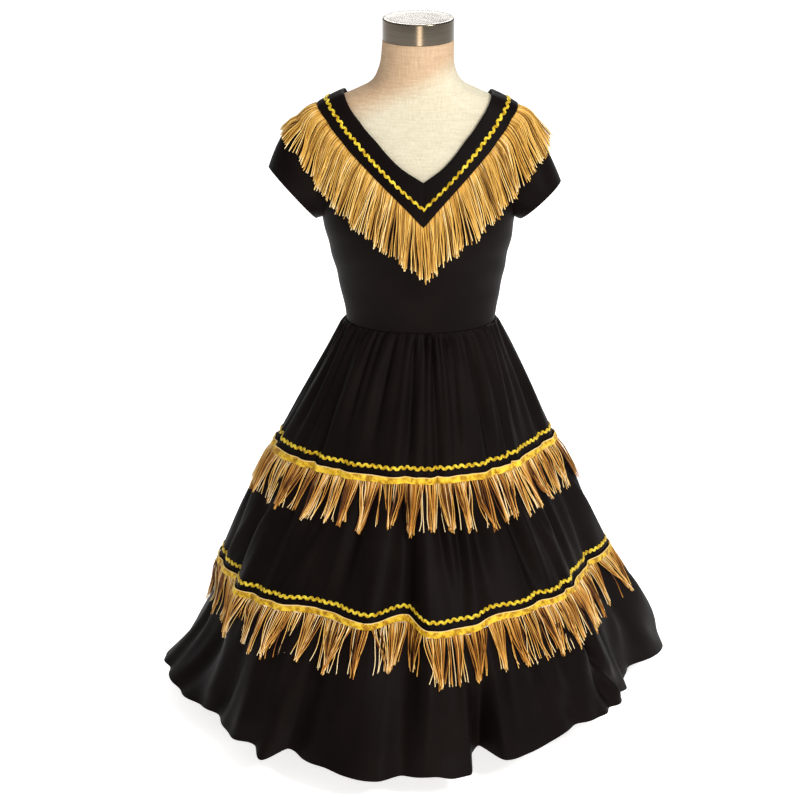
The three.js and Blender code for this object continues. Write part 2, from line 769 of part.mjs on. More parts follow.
async function subtract(body, tool) {
  const wasm = await Module();
  wasm.setup();
  const toManifold = (geometry) => {
    geometry.deleteAttribute('normal');
    geometry.deleteAttribute('uv');
    const merged = mergeVertices(geometry);
    const vertProperties = new Float32Array(merged.attributes.position.array);
    const triVerts = new Uint32Array(merged.index.array);
    return new wasm.Manifold(new wasm.Mesh({ numProp: 3, vertProperties, triVerts }));
  };
  const mesh = toManifold(body).subtract(toManifold(tool)).getMesh();
  const geometry = new THREE.BufferGeometry();
  geometry.setAttribute('position', new THREE.Float32BufferAttribute(mesh.vertProperties, 3));
  geometry.setIndex([...mesh.triVerts]);
  return geometry;
}

// Turned pieces: profiles run from the axis out and back to it
function turned(profile, sides) {
  const geometry = new THREE.LatheGeometry(profile.map(([r, z]) => new THREE.Vector2(r, z)), sides);
  return geometry.rotateX(QUARTER);
}

function capGeometry() {
  const low = FORM_TOP + SEAM;
  return turned([
    [0, low],
    [CAP_RADIUS, low],
    [CAP_RADIUS, CAP_TOP - CAP_EDGE],
    [CAP_RADIUS - EDGE_BULGE * CAP_EDGE, CAP_TOP - EDGE_BULGE * CAP_EDGE],
    [CAP_RADIUS - CAP_EDGE, CAP_TOP],
    [0, CAP_TOP],
  ], LATHE_SIDES.cap);
}

function baseGeometry() {
  return turned([
    [0, 0],
    [BASE_RADIUS, 0],
    [BASE_RADIUS, BASE_HEIGHT - BASE_EDGE],
    [BASE_RADIUS - EDGE_BULGE * BASE_EDGE, BASE_HEIGHT - EDGE_BULGE * BASE_EDGE],
    [BASE_RADIUS - BASE_EDGE, BASE_HEIGHT],
    [0, BASE_HEIGHT],
  ], LATHE_SIDES.base);
}

function poleGeometry() {
  const low = BASE_HEIGHT + SEAM;
  const high = FORM.rows[0][0] + SOCKET_DEPTH - SEAM;
  const geometry = new THREE.CylinderGeometry(POLE_RADIUS, POLE_RADIUS, high - low, LATHE_SIDES.pole);
  return geometry.rotateX(QUARTER).translate(0, 0, (low + high) / 2);
}

// Pieces
const materials = {
  cloth: new THREE.MeshStandardMaterial({ color: COLOURS.cloth, roughness: 0.85, metalness: 0 }),
  tape: new THREE.MeshStandardMaterial({ color: COLOURS.tape, roughness: 0.4, metalness: 0.6 }),
  fringe: new THREE.MeshStandardMaterial({ color: COLOURS.fringe, roughness: 0.5, metalness: 0 }),
  linen: new THREE.MeshStandardMaterial({ color: COLOURS.linen, roughness: 0.9, metalness: 0 }),
  steel: new THREE.MeshStandardMaterial({ color: COLOURS.steel, roughness: 0.3, metalness: 1 }),
  paint: new THREE.MeshStandardMaterial({ color: COLOURS.paint, roughness: 0.5, metalness: 0.3 }),
};

const dress = new THREE.Group();

function add(name, geometry, material) {
  const mesh = new THREE.Mesh(geometry, materials[material]);
  mesh.name = name;
  dress.add(mesh);
  return mesh;
}

add('stand_base', baseGeometry(), 'paint');
add('stand_pole', poleGeometry(), 'steel');
add('form_body', await formGeometry(), 'linen');
add('neck_cap', capGeometry(), 'steel');

const carriers = [
  add('bodice_front', thicken(bodiceSheet(FRONT), 0, WALL), 'cloth'),
  add('bodice_back', thicken(bodiceSheet(BACK), 0, WALL), 'cloth'),
];
for (const shape of SLEEVES) carriers.push(add(shape.name, sleeve(shape), 'cloth'));
add('neckband_front', neckband(FRONT), 'cloth');
add('neckband_back', neckband(BACK), 'cloth');
add('neck_ricrac', neckTape(), 'tape');
add('neck_fringe', neckFringe(carriers), 'fringe');

for (const tier of [0, 1, 2]) add(`skirt_tier_${tier + 1}`, tierGeometry(tier), 'cloth');
for (const tier of [0, 1]) {
  add(`row_${tier + 1}_ricrac`, rowTape(tier), 'tape');
  add(`row_${tier + 1}_fringe`, rowFringe(tier), 'fringe');
}

export default dress;
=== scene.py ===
"""Looks for a fringed western dress on a limbless dress form.

Sizes are in millimetres until a mesh is made; the frame and every mesh are in metres.
+Z is up, the front faces -Y and a viewer's right is +X.
"""

import math

import bpy
import numpy as np
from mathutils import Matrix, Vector
from mathutils.bvhtree import BVHTree


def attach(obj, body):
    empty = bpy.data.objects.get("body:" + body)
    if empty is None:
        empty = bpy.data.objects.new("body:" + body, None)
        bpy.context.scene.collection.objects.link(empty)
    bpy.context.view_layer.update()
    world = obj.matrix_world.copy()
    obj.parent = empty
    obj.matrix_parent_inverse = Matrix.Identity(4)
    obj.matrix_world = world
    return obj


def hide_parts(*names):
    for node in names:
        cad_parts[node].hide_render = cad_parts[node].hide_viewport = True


MM = 0.001
QUARTER = math.pi / 2

# Sizes shared with the solids
EASE = 3
SHOULDER_EASE = 0.7
SHOULDER_SHARE = 0.35
SHOULDER_START = 985
SHOULDER_BLEND = 25
WAIST = 680
WAIST_BLEND = 40
UNDERARM = 858
SHOULDER_TIP = 1008
ARMHOLE_SCOOP = math.radians(27)
V_SHIFT = 8
YOKE_ROWS = 9
YOKE_STEPS = 54
GATHERS = 22
FORM_BOTTOM = 430
FORM_EDGE = 437
FORM_CHEST = 940
FORM_TOP = 1148
CAP_RADIUS = 57.5
CAP_TOP = 1183
BASE_RADIUS = 150
BASE_HEIGHT = 15
POLE_RADIUS = 16
POLE_TOP = 489

# Cloth and trims
CLOTH = 1.1
SEAT = 0.3
SHARP = 50
BAND_LIFT = 3.9
BAND_WALL = 1.2
BAND_CLOTH = 0.6
BAND_EDGE = 0.07
NECK_TAPE_PLACE = 0.61
NECK_FRINGE_LENGTH = 94
ROW_TAPE_PLACE = 0.897
ROW_HEADER = (0.957, 1.0)
ROW_FRINGE_LENGTH = 88
ROW_ROOT = 0.985
ROOT_LIFT = 1.9
TAPE_LIFT = 0.15
HEADER_LIFT = 2.2
CORD_LIFT = 2.9
STITCH_LIFT = 0.1
TAPE_PITCH = 12
TAPE_SWING = 1.6
TAPE_WIDTH = 6.4
GIMP_STEP = 1.9
GIMP_PLAIT = 4.6
HEM_STITCH_PLACE = 0.955
SLEEVE_STITCH_PLACE = 0.9

# Strands: the radius and sides of their tubes, and the points along each
NECK_STRAND = {"radius": 0.7, "sides": 5}
ROW_STRAND = {"radius": 0.62, "sides": 4}
HEADER_CORD = {"radius": 0.8, "sides": 5}
NECK_STATIONS = 12
ROW_STATIONS = 11

# Points along the grids of cloth
TIER_COLUMNS = (561, 681, 801)
TIER_ROWS = 36
SLEEVE_COLUMNS = 109
SLEEVE_ROWS = 25

# Steps for measuring a surface's slope: along the turn and the height of the torso, and
# along the girth and the drop of the skirt
TURN_STEP = 0.01
HEIGHT_STEP = 1
GIRTH_STEP = 0.0008
DROP_STEP = 0.01

random = np.random.default_rng(11)


def table(columns, rows, period=0):
    """Named columns of numbers; the first column is the place that is looked up."""
    values = np.array(rows, float)
    if period:
        before, after = values.copy(), values.copy()
        before[:, 0] -= period
        after[:, 0] += period
        values = np.vstack([before, values, after])
    return dict(zip(columns, values.T))


def joined_slope(before, after):
    """The slope between two steps: none where they turn round, else their harmonic mean."""
    same = before * after > 0
    total = np.where(same, before + after, 1)
    return np.where(same, 2 * before * after / total, 0)


def hermite(low, high, slope_low, slope_high, t, span):
    ease = t * t * (3 - 2 * t)
    return low + (high - low) * ease + t * (1 - t) * span * ((1 - t) * slope_low - t * slope_high)


def read(rows, column, at):
    places, values = next(iter(rows.values())), rows[column]
    step = np.diff(values) / np.diff(places)
    slope = np.concatenate([step[:1], joined_slope(step[:-1], step[1:]), step[-1:]])
    i = np.clip(np.searchsorted(places, at) - 1, 0, len(places) - 2)
    span = places[i + 1] - places[i]
    t = np.clip((at - places[i]) / span, 0, 1)
    return hermite(values[i], values[i + 1], slope[i], slope[i + 1], t, span)


def lerp(a, b, t):
    return a + (b - a) * t


def smooth(t):
    t = np.clip(t, 0, 1)
    return t * t * (3 - 2 * t)


def unit(vectors):
    return vectors / np.maximum(np.linalg.norm(vectors, axis=-1, keepdims=True), 1e-12)


def stack(x, y, z):
    return np.stack(np.broadcast_arrays(x, y, z), axis=-1).astype(float)


# Torso sections, from the flat bottom up to the neck
FORM = table(["height", "half", "front", "back", "centre", "round"], [
    [430, 160, 98, 112, 0, 2.1],
    [437, 168, 105, 120, 0, 2.1],
    [500, 172, 104, 125, 0, 2.1],
    [560, 163, 99, 118, 0, 2.1],
    [620, 138, 90, 100, 0, 2.1],
    [680, 118.5, 84, 82, 0, 2.1],
    [735, 127.5, 92, 84, 0, 2.15],
    [780, 136.5, 108, 90, 0, 2.2],
    [825, 147, 122.5, 95, 0, 2.2],
    [850, 151.5, 125, 98, 0, 2.2],
    [875, 155.5, 121, 101, 1, 2.2],
    [900, 159, 112, 102, 2, 2.2],
    [940, 168, 97, 101, 4, 2.2],
    [980, 180, 80, 93, 7, 2.2],
    [1000, 184, 68, 84, 8, 2.1],
    [1012, 182, 62, 77, 8, 2.1],
    [1025, 172, 56, 71, 8, 2],
    [1037, 156, 51, 65, 7, 2],
    [1048, 136, 50, 60, 7, 2],
    [1057, 115, 50, 57, 6, 2],
    [1066, 95, 52, 56, 5, 2],
    [1075, 78, 54, 56, 3, 2],
    [1090, 66, 56, 57, 1, 2],
    [1115, 59, 57, 57, 0, 2],
    [1148, 57.5, 57.5, 57.5, 0, 2],
])

# The torso leans: its waist sits towards +X and its shoulders towards -X
WAIST_SHIFT = 5
LEAN = table(["height", "shift"], [
    [430, 0],
    [680, WAIST_SHIFT],
    [760, 4],
    [900, 0],
    [1012, -2],
    [1090, -2],
    [1148, 0],
])

# Neckline: reach is the share of the shoulder end's distance from the centre line
NECKLINE_COLUMNS = ["share", "innerReach", "innerHeight", "outerReach", "outerHeight"]
FRONT_NECKLINE = table(NECKLINE_COLUMNS, [
    [0, 0, 934, 0, 869],
    [0.25, 0.29, 955.5, 0.26, 910],
    [0.5, 0.555, 986, 0.527, 951],
    [0.75, 0.8, 1019, 0.78, 992],
    [0.9, 0.926, 1040, 0.921, 1020],
    [1, 1, 1056, 1, 1035],
])
BACK_NECKLINE = table(NECKLINE_COLUMNS, [
    [0, 0, 1003, 0, 950],
    [0.25, 0.35, 1004, 0.36, 953],
    [0.5, 0.66, 1011, 0.68, 966],
    [0.75, 0.88, 1029, 0.9, 996],
    [1, 1, 1056, 1, 1035],
])
FRONT = {"back": False, "neckline": FRONT_NECKLINE, "shift": V_SHIFT}
BACK = {"back": True, "neckline": BACK_NECKLINE, "shift": 0}

# Skirt sections: drop counts the tiers from the waist seam to the hem
SKIRT = table(["drop", "height", "half", "front", "back"], [
    [0, 680, 123.4, 89, 87],
    [0.2, 640, 147, 111, 111],
    [0.55, 560, 191, 142, 145],
    [1, 452, 242, 176, 184],
    [1.5, 345, 293, 236, 243],
    [2, 238, 344, 300, 304],
    [2.5, 140, 394, 368, 366],
    [3, 42, 440, 425, 420],
])
GATHER_DEPTH = table(["drop", "depth"], [
    [0, 1.5],
    [0.3, 4],
    [0.6, 4.5],
    [0.87, 3],
    [1, 2],
    [1.38, 5],
    [1.87, 3.5],
    [2, 2],
    [2.4, 5],
    [2.7, 4.5],
    [3, 3.5],
])

# Fine waves of the cloth: their number round a tier, depth, and the share of the tier they
# take to die out or, for the ripples, to begin
PLEATS = (57, 1.8, 0.3)
SHIRRING = (131, 0.9, 0.07)
RIPPLES = (37, 1.2, 0.5)

# Large folds round the skirt: how far each seam and the hem stand out and are lifted
FOLDS = table(["turn", "firstOut", "secondOut", "hemOut", "secondLift", "hemLift"], [
    [-165, -2, -24, -42, 8, 5],
    [-150, 0, 4, 2, 4, 0],
    [-136, -6, -22, -38, 8, 5],
    [-120, -2, -2, 0, 3, 0],
    [-108, -3, -10, -14, 3, 2],
    [-95, 0, -4, -5, 0, 5],
    [-84, -3, -16, -15, 1, 6],
    [-75, -6, -27, -24, 2, 4],
    [-65, -14, -8, -52, 4, 8],
    [-54, -15, -12, -40, 8, 12],
    [-45, -12, -12, -26, 10, 9],
    [-40, -9, -18, -24, 12, 9],
    [-36, -8, -26, -2, 13, 0],
    [-32, -6, -21, -36, 13, 13],
    [-27, -4, -12, -22, 12, 8],
    [-21.5, -2, -2, -9, 11, 10],
    [-16, -1, 6, 2, 10, 4],
    [-9, 0, -14, 9, 14, 0],
    [-3, 0, -24, -22, 15, 0],
    [3.5, 0, 20, -6, 5, 5],
    [8, 0, 18, -2, 4, 0],
    [11.5, 0, 13, -8, 4, 1],
    [14.3, -1, 9, -80, 5, 8],
    [17, -2, 6, -96, 7, 12],
    [21, -3, -2, -36, 11, 10],
    [27, -6, -12, -30, 13, 16],
    [33, -9, -17, -37, 14, 29],
    [38, -12, -21, -43, 15, 34],
    [46, -20, -27, -51, 14, 32],
    [54, -28, -34, -47, 12, 29],
    [58, -31, -39, -53, 11, 27],
    [62, -35, -45, -68, 9, 27],
    [66, -38, -51, -70, 8, 24],
    [71, -40, -55, -66, 7, 18],
    [78, -40, -60, -84, 4, 13],
    [85, -31, -53, -76, 2, 14],
    [93, -16, -32, -34, 0, 11],
    [101, -4, -6, 0, 0, 6],
    [116, 0, 6, 8, 2, 0],
    [131, -4, -20, -36, 8, 5],
    [146, 0, 4, 2, 4, 0],
    [160, -4, -14, -30, 8, 4],
    [178, 0, 8, 4, 3, 0],
], period=360)

# How far the middle of each tier stands out between its seams
MIDDLES = table(["turn", "first", "second", "third"], [
    [-150, 0, 0, 0],
    [-120, -3, 1, -8],
    [-95, -10, 3, -27],
    [-80, -10, 3, -30],
    [-62, -5, 1, -13],
    [-45, 0, 0, 0],
    [60, 0, 0, 0],
    [92, -3, 3, 6],
    [115, -2, 2, 4],
    [150, 0, 0, 0],
], period=360)

# Creases down each tier: their number, sideways stray, depth and width in shares of the
# girth, and their strength at the tier's head and foot
CREASES = table(["tier", "count", "stray", "depth", "width", "head", "foot"], [
    [0, 26, 0.012, 5.5, 0.0052, 1.0, 0.4],
    [1, 24, 0.035, 10, 0.0062, 0.9, 0.7],
    [2, 24, 0.030, 15, 0.0085, 0.5, 1.1],
])
# A crease's lean to one side and its trough, and the share of it that calms above a seam
CREASE_LEAN = 1.2
CREASE_TROUGH = 0.3
CREASE_CALM = 0.65

# Skirt sections: how square they are, and how far their places wander round the girth
SKIRT_ROUND = 2.1
SKIRT_WANDER = (0.006, 0.004)

# Sleeves: the hem's highest point, the rise of the crown, and how far the hem is lifted
# in front and sags behind
SLEEVES = {
    "left": {"side": 1, "reach": 232, "height": 913, "crown": 14, "lift": 10, "sag": 16},
    "right": {"side": -1, "reach": 242, "height": 936, "crown": 46, "lift": 14, "sag": 4},
}
SLEEVE_LOW = (166, 850)
SLEEVE_HALF_DEPTH = 62
SLEEVE_CENTRE = 5

# Seams of the form's linen panels, as turns from the front: centres, princess lines and sides
SEAM_TURNS = (0, 0.62, -0.62, QUARTER, -QUARTER, math.pi, -math.pi, 2.5, -2.5)
SEAM = {"depth": 0.5, "width": 0.018}
NECK_SEAM = {"depth": 0.6, "width": 2.2, "height": 1078, "dip": 12}


# Torso surface: turn is measured from the front centre towards +X
def torso(turn, height):
    depth = np.where(np.cos(turn) > 0, read(FORM, "front", height), read(FORM, "back", height))
    power = 2 / read(FORM, "round", height)
    across = np.sign(np.sin(turn)) * np.abs(np.sin(turn)) ** power
    along = np.sign(np.cos(turn)) * np.abs(np.cos(turn)) ** power
    x = read(LEAN, "shift", height) + read(FORM, "half", height) * across
    return stack(x, read(FORM, "centre", height) - depth * along, height)


def torso_normal(turn, height):
    along = torso(turn + TURN_STEP, height) - torso(turn - TURN_STEP, height)
    up = torso(turn, height + HEIGHT_STEP) - torso(turn, height - HEIGHT_STEP)
    return unit(np.cross(along, up))


def turn_at(x, height):
    away = x - read(LEAN, "shift", height)
    share = np.minimum(1, np.abs(away) / read(FORM, "half", height))
    return np.sign(away) * np.arcsin(share ** (read(FORM, "round", height) / 2))


def ease_at(turn, height):
    off_shoulder = np.clip(np.abs(np.cos(turn)) / SHOULDER_SHARE, 0, 1)
    shoulder = lerp(SHOULDER_EASE, EASE, off_shoulder)
    return lerp(EASE, shoulder, smooth((height - SHOULDER_START) / SHOULDER_BLEND))


def cloth_site(face, turn, height):
    """Points on the bodice's inner face and the directions that its cloth grows in."""
    around = math.pi - turn if face["back"] else turn
    normal = torso_normal(around, height)
    point = torso(around, height) + normal * (ease_at(around, height) + SEAT)[..., None]
    normal[..., 2] *= smooth((height - WAIST) / WAIST_BLEND)
    return point, unit(normal)


def band_edge(face, side, row, edge):
    share = np.sin(row / YOKE_ROWS * QUARTER)
    height = read(face["neckline"], edge + "Height", share)
    shoulder = read(FORM, "half", face["neckline"][edge + "Height"][-1])
    reach = side * shoulder * read(face["neckline"], edge + "Reach", share)
    return reach + face["shift"] * (1 - share), height


def yoke(face, side, row, across):
    """The yoke runs over the band from 0 to 1, and on to the armhole at 2."""
    row, across = np.broadcast_arrays(np.asarray(row, float), np.asarray(across, float))
    outer_x, outer_height = band_edge(face, side, row, "outer")
    inner_x, inner_height = band_edge(face, side, row, "inner")
    height = lerp(inner_height, outer_height, across)
    turn = turn_at(lerp(inner_x, outer_x, across), height)
    angle = row / YOKE_ROWS * math.pi
    arm_turn = side * (QUARTER - ARMHOLE_SCOOP * np.sin(angle))
    arm_height = lerp(UNDERARM, SHOULDER_TIP, (1 - np.cos(angle)) / 2)
    t = across - 1
    dip = (1 - row / YOKE_ROWS) * t * (1 - t)
    beyond = t > 0
    turn = np.where(beyond, lerp(turn_at(outer_x, outer_height), arm_turn, t), turn)
    height = np.where(beyond, lerp(outer_height, arm_height, t + dip), height)
    return np.where(row >= YOKE_ROWS, side * QUARTER, turn), height


def yoke_site(face, side, row, across):
    return cloth_site(face, *yoke(face, side, row, across))


def down_the_tiers(stops, drop):
    """A smooth value between those at the waist, the two seams and the hem."""
    stops = np.stack(np.broadcast_arrays(*stops, drop)[:-1], axis=-1)
    steps = np.diff(stops)
    turns = joined_slope(steps[..., :-1], steps[..., 1:])
    slopes = np.concatenate([steps[..., :1], turns, steps[..., -1:]], axis=-1)
    tier = np.clip(np.floor(drop), 0, 2).astype(int)
    picks = []
    for data in (stops, slopes):
        for k in (0, 1):
            picks.append(np.take_along_axis(data, (tier + k)[..., None], axis=-1)[..., 0])
    return hermite(*picks, drop - tier, 1)


def gathers(u, drop, tier):
    """Uneven gathers, as deep as the solids', with fine pleats that die out below each seam."""
    wave = 2 * math.pi * u
    below = drop - tier
    sway = 0.35 * np.sin(5 * wave + 1.3 * tier) + 0.25 * np.sin(9 * wave + 4 + tier)
    phase = GATHERS * wave + sway
    strength = 1.0 + 0.3 * np.sin(7 * wave + 2 + 2 * tier) + 0.2 * np.sin(12 * wave + tier)
    main = (np.cos(phase) - 0.3 * np.cos(2 * phase)) * strength
    count, depth, reach = PLEATS
    pleats = depth * np.cos(count * wave + 1.2 * np.sin(8 * wave + tier)) * np.exp(-below / reach)
    count, depth, reach = SHIRRING
    shirring = depth * np.cos(count * wave + 2 * np.sin(13 * wave)) * np.exp(-below / reach)
    count, depth, reach = RIPPLES
    ripples = depth * np.sin(count * wave + 5 * drop + tier) * smooth(below / reach)
    total = read(GATHER_DEPTH, "depth", drop) * main + pleats + shirring + ripples
    return total * (smooth(drop / 0.06) if tier == 0 else 1)


def creases(u, drop, tier):
    """Sharp folds that lie over to one side and stray outwards as they fall."""
    chance = np.random.default_rng(50 + tier)
    head, foot = (float(read(CREASES, name, tier)) for name in ("head", "foot"))
    count = int(read(CREASES, "count", tier))
    below = np.clip(drop - tier, 0, 1)
    total = np.zeros(below.shape)
    for k in range(count):
        place = (k + chance.uniform(-0.4, 0.4)) / count
        depth = float(read(CREASES, "depth", tier)) * chance.uniform(0.3, 1.25)
        width = float(read(CREASES, "width", tier)) * chance.uniform(0.7, 1.6)
        stray = float(read(CREASES, "stray", tier)) * (math.sin(2 * math.pi * place) + chance.normal(0, 0.5))
        lean = chance.choice([-1, 1]) * CREASE_LEAN
        reach = chance.uniform(0.5, 1.6)
        spot = ((u - place - stray * below + 0.5) % 1 - 0.5) / width
        strength = smooth(below / (0.2 if tier else 0.03)) * lerp(head, foot, below)
        strength = strength * (np.exp(-(below / reach) ** 2) if foot < head else 1)
        bell = np.exp(-spot ** 2 / 2)
        total = total + depth * strength * (lean * spot * bell - CREASE_TROUGH * bell)
    return total * (1 - CREASE_CALM * smooth((below - 0.8) / 0.2))


def skirt(u, drop, tier, creased=True):
    """Points of a tier, under its cloth: u runs once round, from the front centre towards +X."""
    u, drop = np.broadcast_arrays(np.asarray(u, float), np.asarray(drop, float))
    turn = 2 * math.pi * u
    wide, narrow = SKIRT_WANDER
    wander = wide * np.sin(6 * math.pi * u + 0.8) + narrow * np.sin(14 * math.pi * u + 2)
    turn = turn + 2 * math.pi * wander
    degrees = (np.degrees(turn) + 180) % 360 - 180
    half = read(SKIRT, "half", drop)
    depth = np.where(np.cos(turn) > 0, read(SKIRT, "front", drop), read(SKIRT, "back", drop))
    across = np.abs(np.sin(turn) / half) ** SKIRT_ROUND + np.abs(np.cos(turn) / depth) ** SKIRT_ROUND
    outs = [0] + [read(FOLDS, name, degrees) for name in ("firstOut", "secondOut", "hemOut")]
    lifts = [0, 0] + [read(FOLDS, name, degrees) for name in ("secondLift", "hemLift")]
    middle = np.zeros(drop.shape)
    for k, name in enumerate(("first", "second", "third")):
        inside = np.clip(drop - k, 0, 1)
        middle = middle + read(MIDDLES, name, degrees) * np.sin(math.pi * inside)
    radius = across ** (-1 / SKIRT_ROUND) + gathers(u, drop, tier) + middle + down_the_tiers(outs, drop)
    if creased:
        radius = radius + creases(u, drop, tier)
    height = read(SKIRT, "height", drop) + down_the_tiers(lifts, drop)
    shift = WAIST_SHIFT * np.maximum(0, 1 - drop) ** 2
    return stack(shift + radius * np.sin(turn), -radius * np.cos(turn), height)


def skirt_normal(u, drop, tier, creased=True):
    """The direction out of the cloth."""
    along = skirt(u + GIRTH_STEP, drop, tier, creased) - skirt(u - GIRTH_STEP, drop, tier, creased)
    up = skirt(u, drop - DROP_STEP, tier, creased) - skirt(u, drop + DROP_STEP, tier, creased)
    return unit(np.cross(along, up))


def skirt_site(u, drop, tier):
    normal = skirt_normal(u, drop, tier)
    return skirt(u, drop, tier) + normal * SEAT, normal


# Meshes
def grid_faces(grid, facing, start=0):
    """The quads of a grid of points, turned to the side that facing looks to."""
    rows, columns = grid.shape[:2]
    index = np.arange(rows * columns).reshape(rows, columns) + start
    quads = np.stack([index[:-1, :-1], index[:-1, 1:], index[1:, 1:], index[1:, :-1]], axis=-1)
    diagonal = grid[1:, 1:] - grid[:-1, :-1]
    other = grid[1:, :-1] - grid[:-1, 1:]
    inward = np.sum(np.cross(diagonal, other) * facing[:-1, :-1]) < 0
    return (quads[..., ::-1] if inward else quads).reshape(-1, 4)


def build(name, patches, material, replaces=(), uv=None, sharp=SHARP):
    """One piece from grids of (points, facing); facing only says which way is outside."""
    points, faces = [], []
    start = 0
    for grid, facing in patches:
        points.append(grid.reshape(-1, 3))
        faces.append(grid_faces(grid, facing, start))
        start += len(points[-1])
    coords = None if uv is None else uv.reshape(-1, 2)
    return piece(name, np.concatenate(points), faces, material, replaces, coords, sharp=sharp)


def piece(name, points, faces, material, replaces=(), coords=None, tones=None, sharp=SHARP):
    """A piece from points and arrays of faces, each array with its own number of corners."""
    mesh = bpy.data.meshes.new(name)
    mesh.vertices.add(len(points))
    mesh.vertices.foreach_set("co", (points * MM).astype(np.float32).ravel())
    corners = np.concatenate([group.ravel() for group in faces]).astype(np.int32)
    sizes = np.concatenate([np.full(len(group), group.shape[1]) for group in faces])
    mesh.loops.add(len(corners))
    mesh.loops.foreach_set("vertex_index", corners)
    mesh.polygons.add(len(sizes))
    mesh.polygons.foreach_set("loop_start", (np.cumsum(sizes) - sizes).astype(np.int32))
    mesh.update(calc_edges=True)
    if coords is not None:
        layer = mesh.uv_layers.new(name="along")
        layer.uv.foreach_set("vector", coords[corners].astype(np.float32).ravel())
    if tones is not None:
        layer = mesh.attributes.new("tone", "FLOAT", "POINT")
        layer.data.foreach_set("value", tones.astype(np.float32))
    mesh.validate()
    obj = add(name, mesh)
    mesh.materials.append(material)
    mesh.polygons.foreach_set("use_smooth", [True] * len(mesh.polygons))
    mesh.set_sharp_from_angle(angle=math.radians(sharp))
    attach(obj, "root")
    if replaces:
        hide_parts(*replaces)
    return obj


def add(name, data):
    made = bpy.data.objects.new(name, data)
    bpy.context.scene.collection.objects.link(made)
    return made


def weld(obj, distance):
    """Joins the borders that a piece's grids share."""
    obj.modifiers.new("weld", "WELD").merge_threshold = distance * MM


def thicken(obj, thickness):
    """Welds the grids' shared borders and gives the cloth its thickness, outwards."""
    weld(obj, 0.05)
    wall = obj.modifiers.new("wall", "SOLIDIFY")
    wall.thickness = thickness * MM
    wall.offset = 1
    wall.use_even_offset = False
    graph = bpy.context.evaluated_depsgraph_get()
    mesh = bpy.data.meshes.new_from_object(obj.evaluated_get(graph))
    obj.modifiers.clear()
    obj.data = mesh
    mesh.set_sharp_from_angle(angle=math.radians(SHARP))


def tubes(name, paths, radius, sides, material, slot, tones, fade, replaces=()):
    """Strands along paths of points, each an own closed tube with flat ends."""
    tangent = unit(np.gradient(paths, axis=1))
    round_axis = unit(stack(-paths[..., 1], paths[..., 0], 0 * paths[..., 0]))
    first = unit(np.cross(tangent, round_axis))
    second = np.cross(first, tangent)
    angle = np.arange(sides) * 2 * math.pi / sides
    ring = first[:, :, None] * np.cos(angle)[:, None] + second[:, :, None] * np.sin(angle)[:, None]
    points = paths[:, :, None] + ring * radius
    index = np.arange(points[..., 0].size).reshape(points.shape[:-1])
    after = np.roll(index, -1, axis=2)
    quads = np.stack([index[:, :-1], index[:, 1:], after[:, 1:], after[:, :-1]], axis=-1).reshape(-1, 4)
    ends = np.concatenate([index[:, 0], index[:, -1, ::-1]])
    coords = np.stack(np.broadcast_arrays(np.arange(sides) / sides, run_along(paths)[:, :, None]), axis=-1)
    change = read(fade, "change", np.linspace(0, 1, paths.shape[1]))
    tone = np.broadcast_to((tones[:, None] + change)[:, :, None], index.shape).reshape(-1)
    return piece(
        name, points.reshape(-1, 3), [quads, ends], material, replaces, coords.reshape(-1, 2),
        tone, sharp=60,
    )


def turned(name, profile, material, replaces, sides):
    """A turned piece whose profile runs from the axis out and back to it."""
    angle = np.linspace(0, 2 * math.pi, sides + 1)
    r, z = np.array(profile, float).T
    grid = stack(r[:, None] * np.cos(angle), r[:, None] * np.sin(angle), z[:, None])
    middle = np.array([0, 0, (z.min() + z.max()) / 2])
    obj = build(name, [(grid, unit(grid - middle))], material, replaces, sharp=32)
    weld(obj, 0.02)


# Lines of points
def run_along(points):
    """How far each point of a line, or of each of many lines, is from its start."""
    steps = np.linalg.norm(np.diff(points, axis=-2), axis=-1)
    return np.concatenate([np.zeros_like(steps[..., :1]), np.cumsum(steps, axis=-1)], axis=-1)


def evenly(line, values, count):
    """The values that go with a line's points, at so many even steps along it."""
    lengths = run_along(line)
    at = np.linspace(0, lengths[-1], count)
    return np.stack([np.interp(at, lengths, values[:, k]) for k in range(3)], axis=1)


def resample(line, pitch):
    """Points at even steps along a line of points, with their places on it."""
    length = run_along(line)[-1]
    count = max(2, int(length / pitch)) + 1
    return evenly(line, line, count), np.linspace(0, length, count)


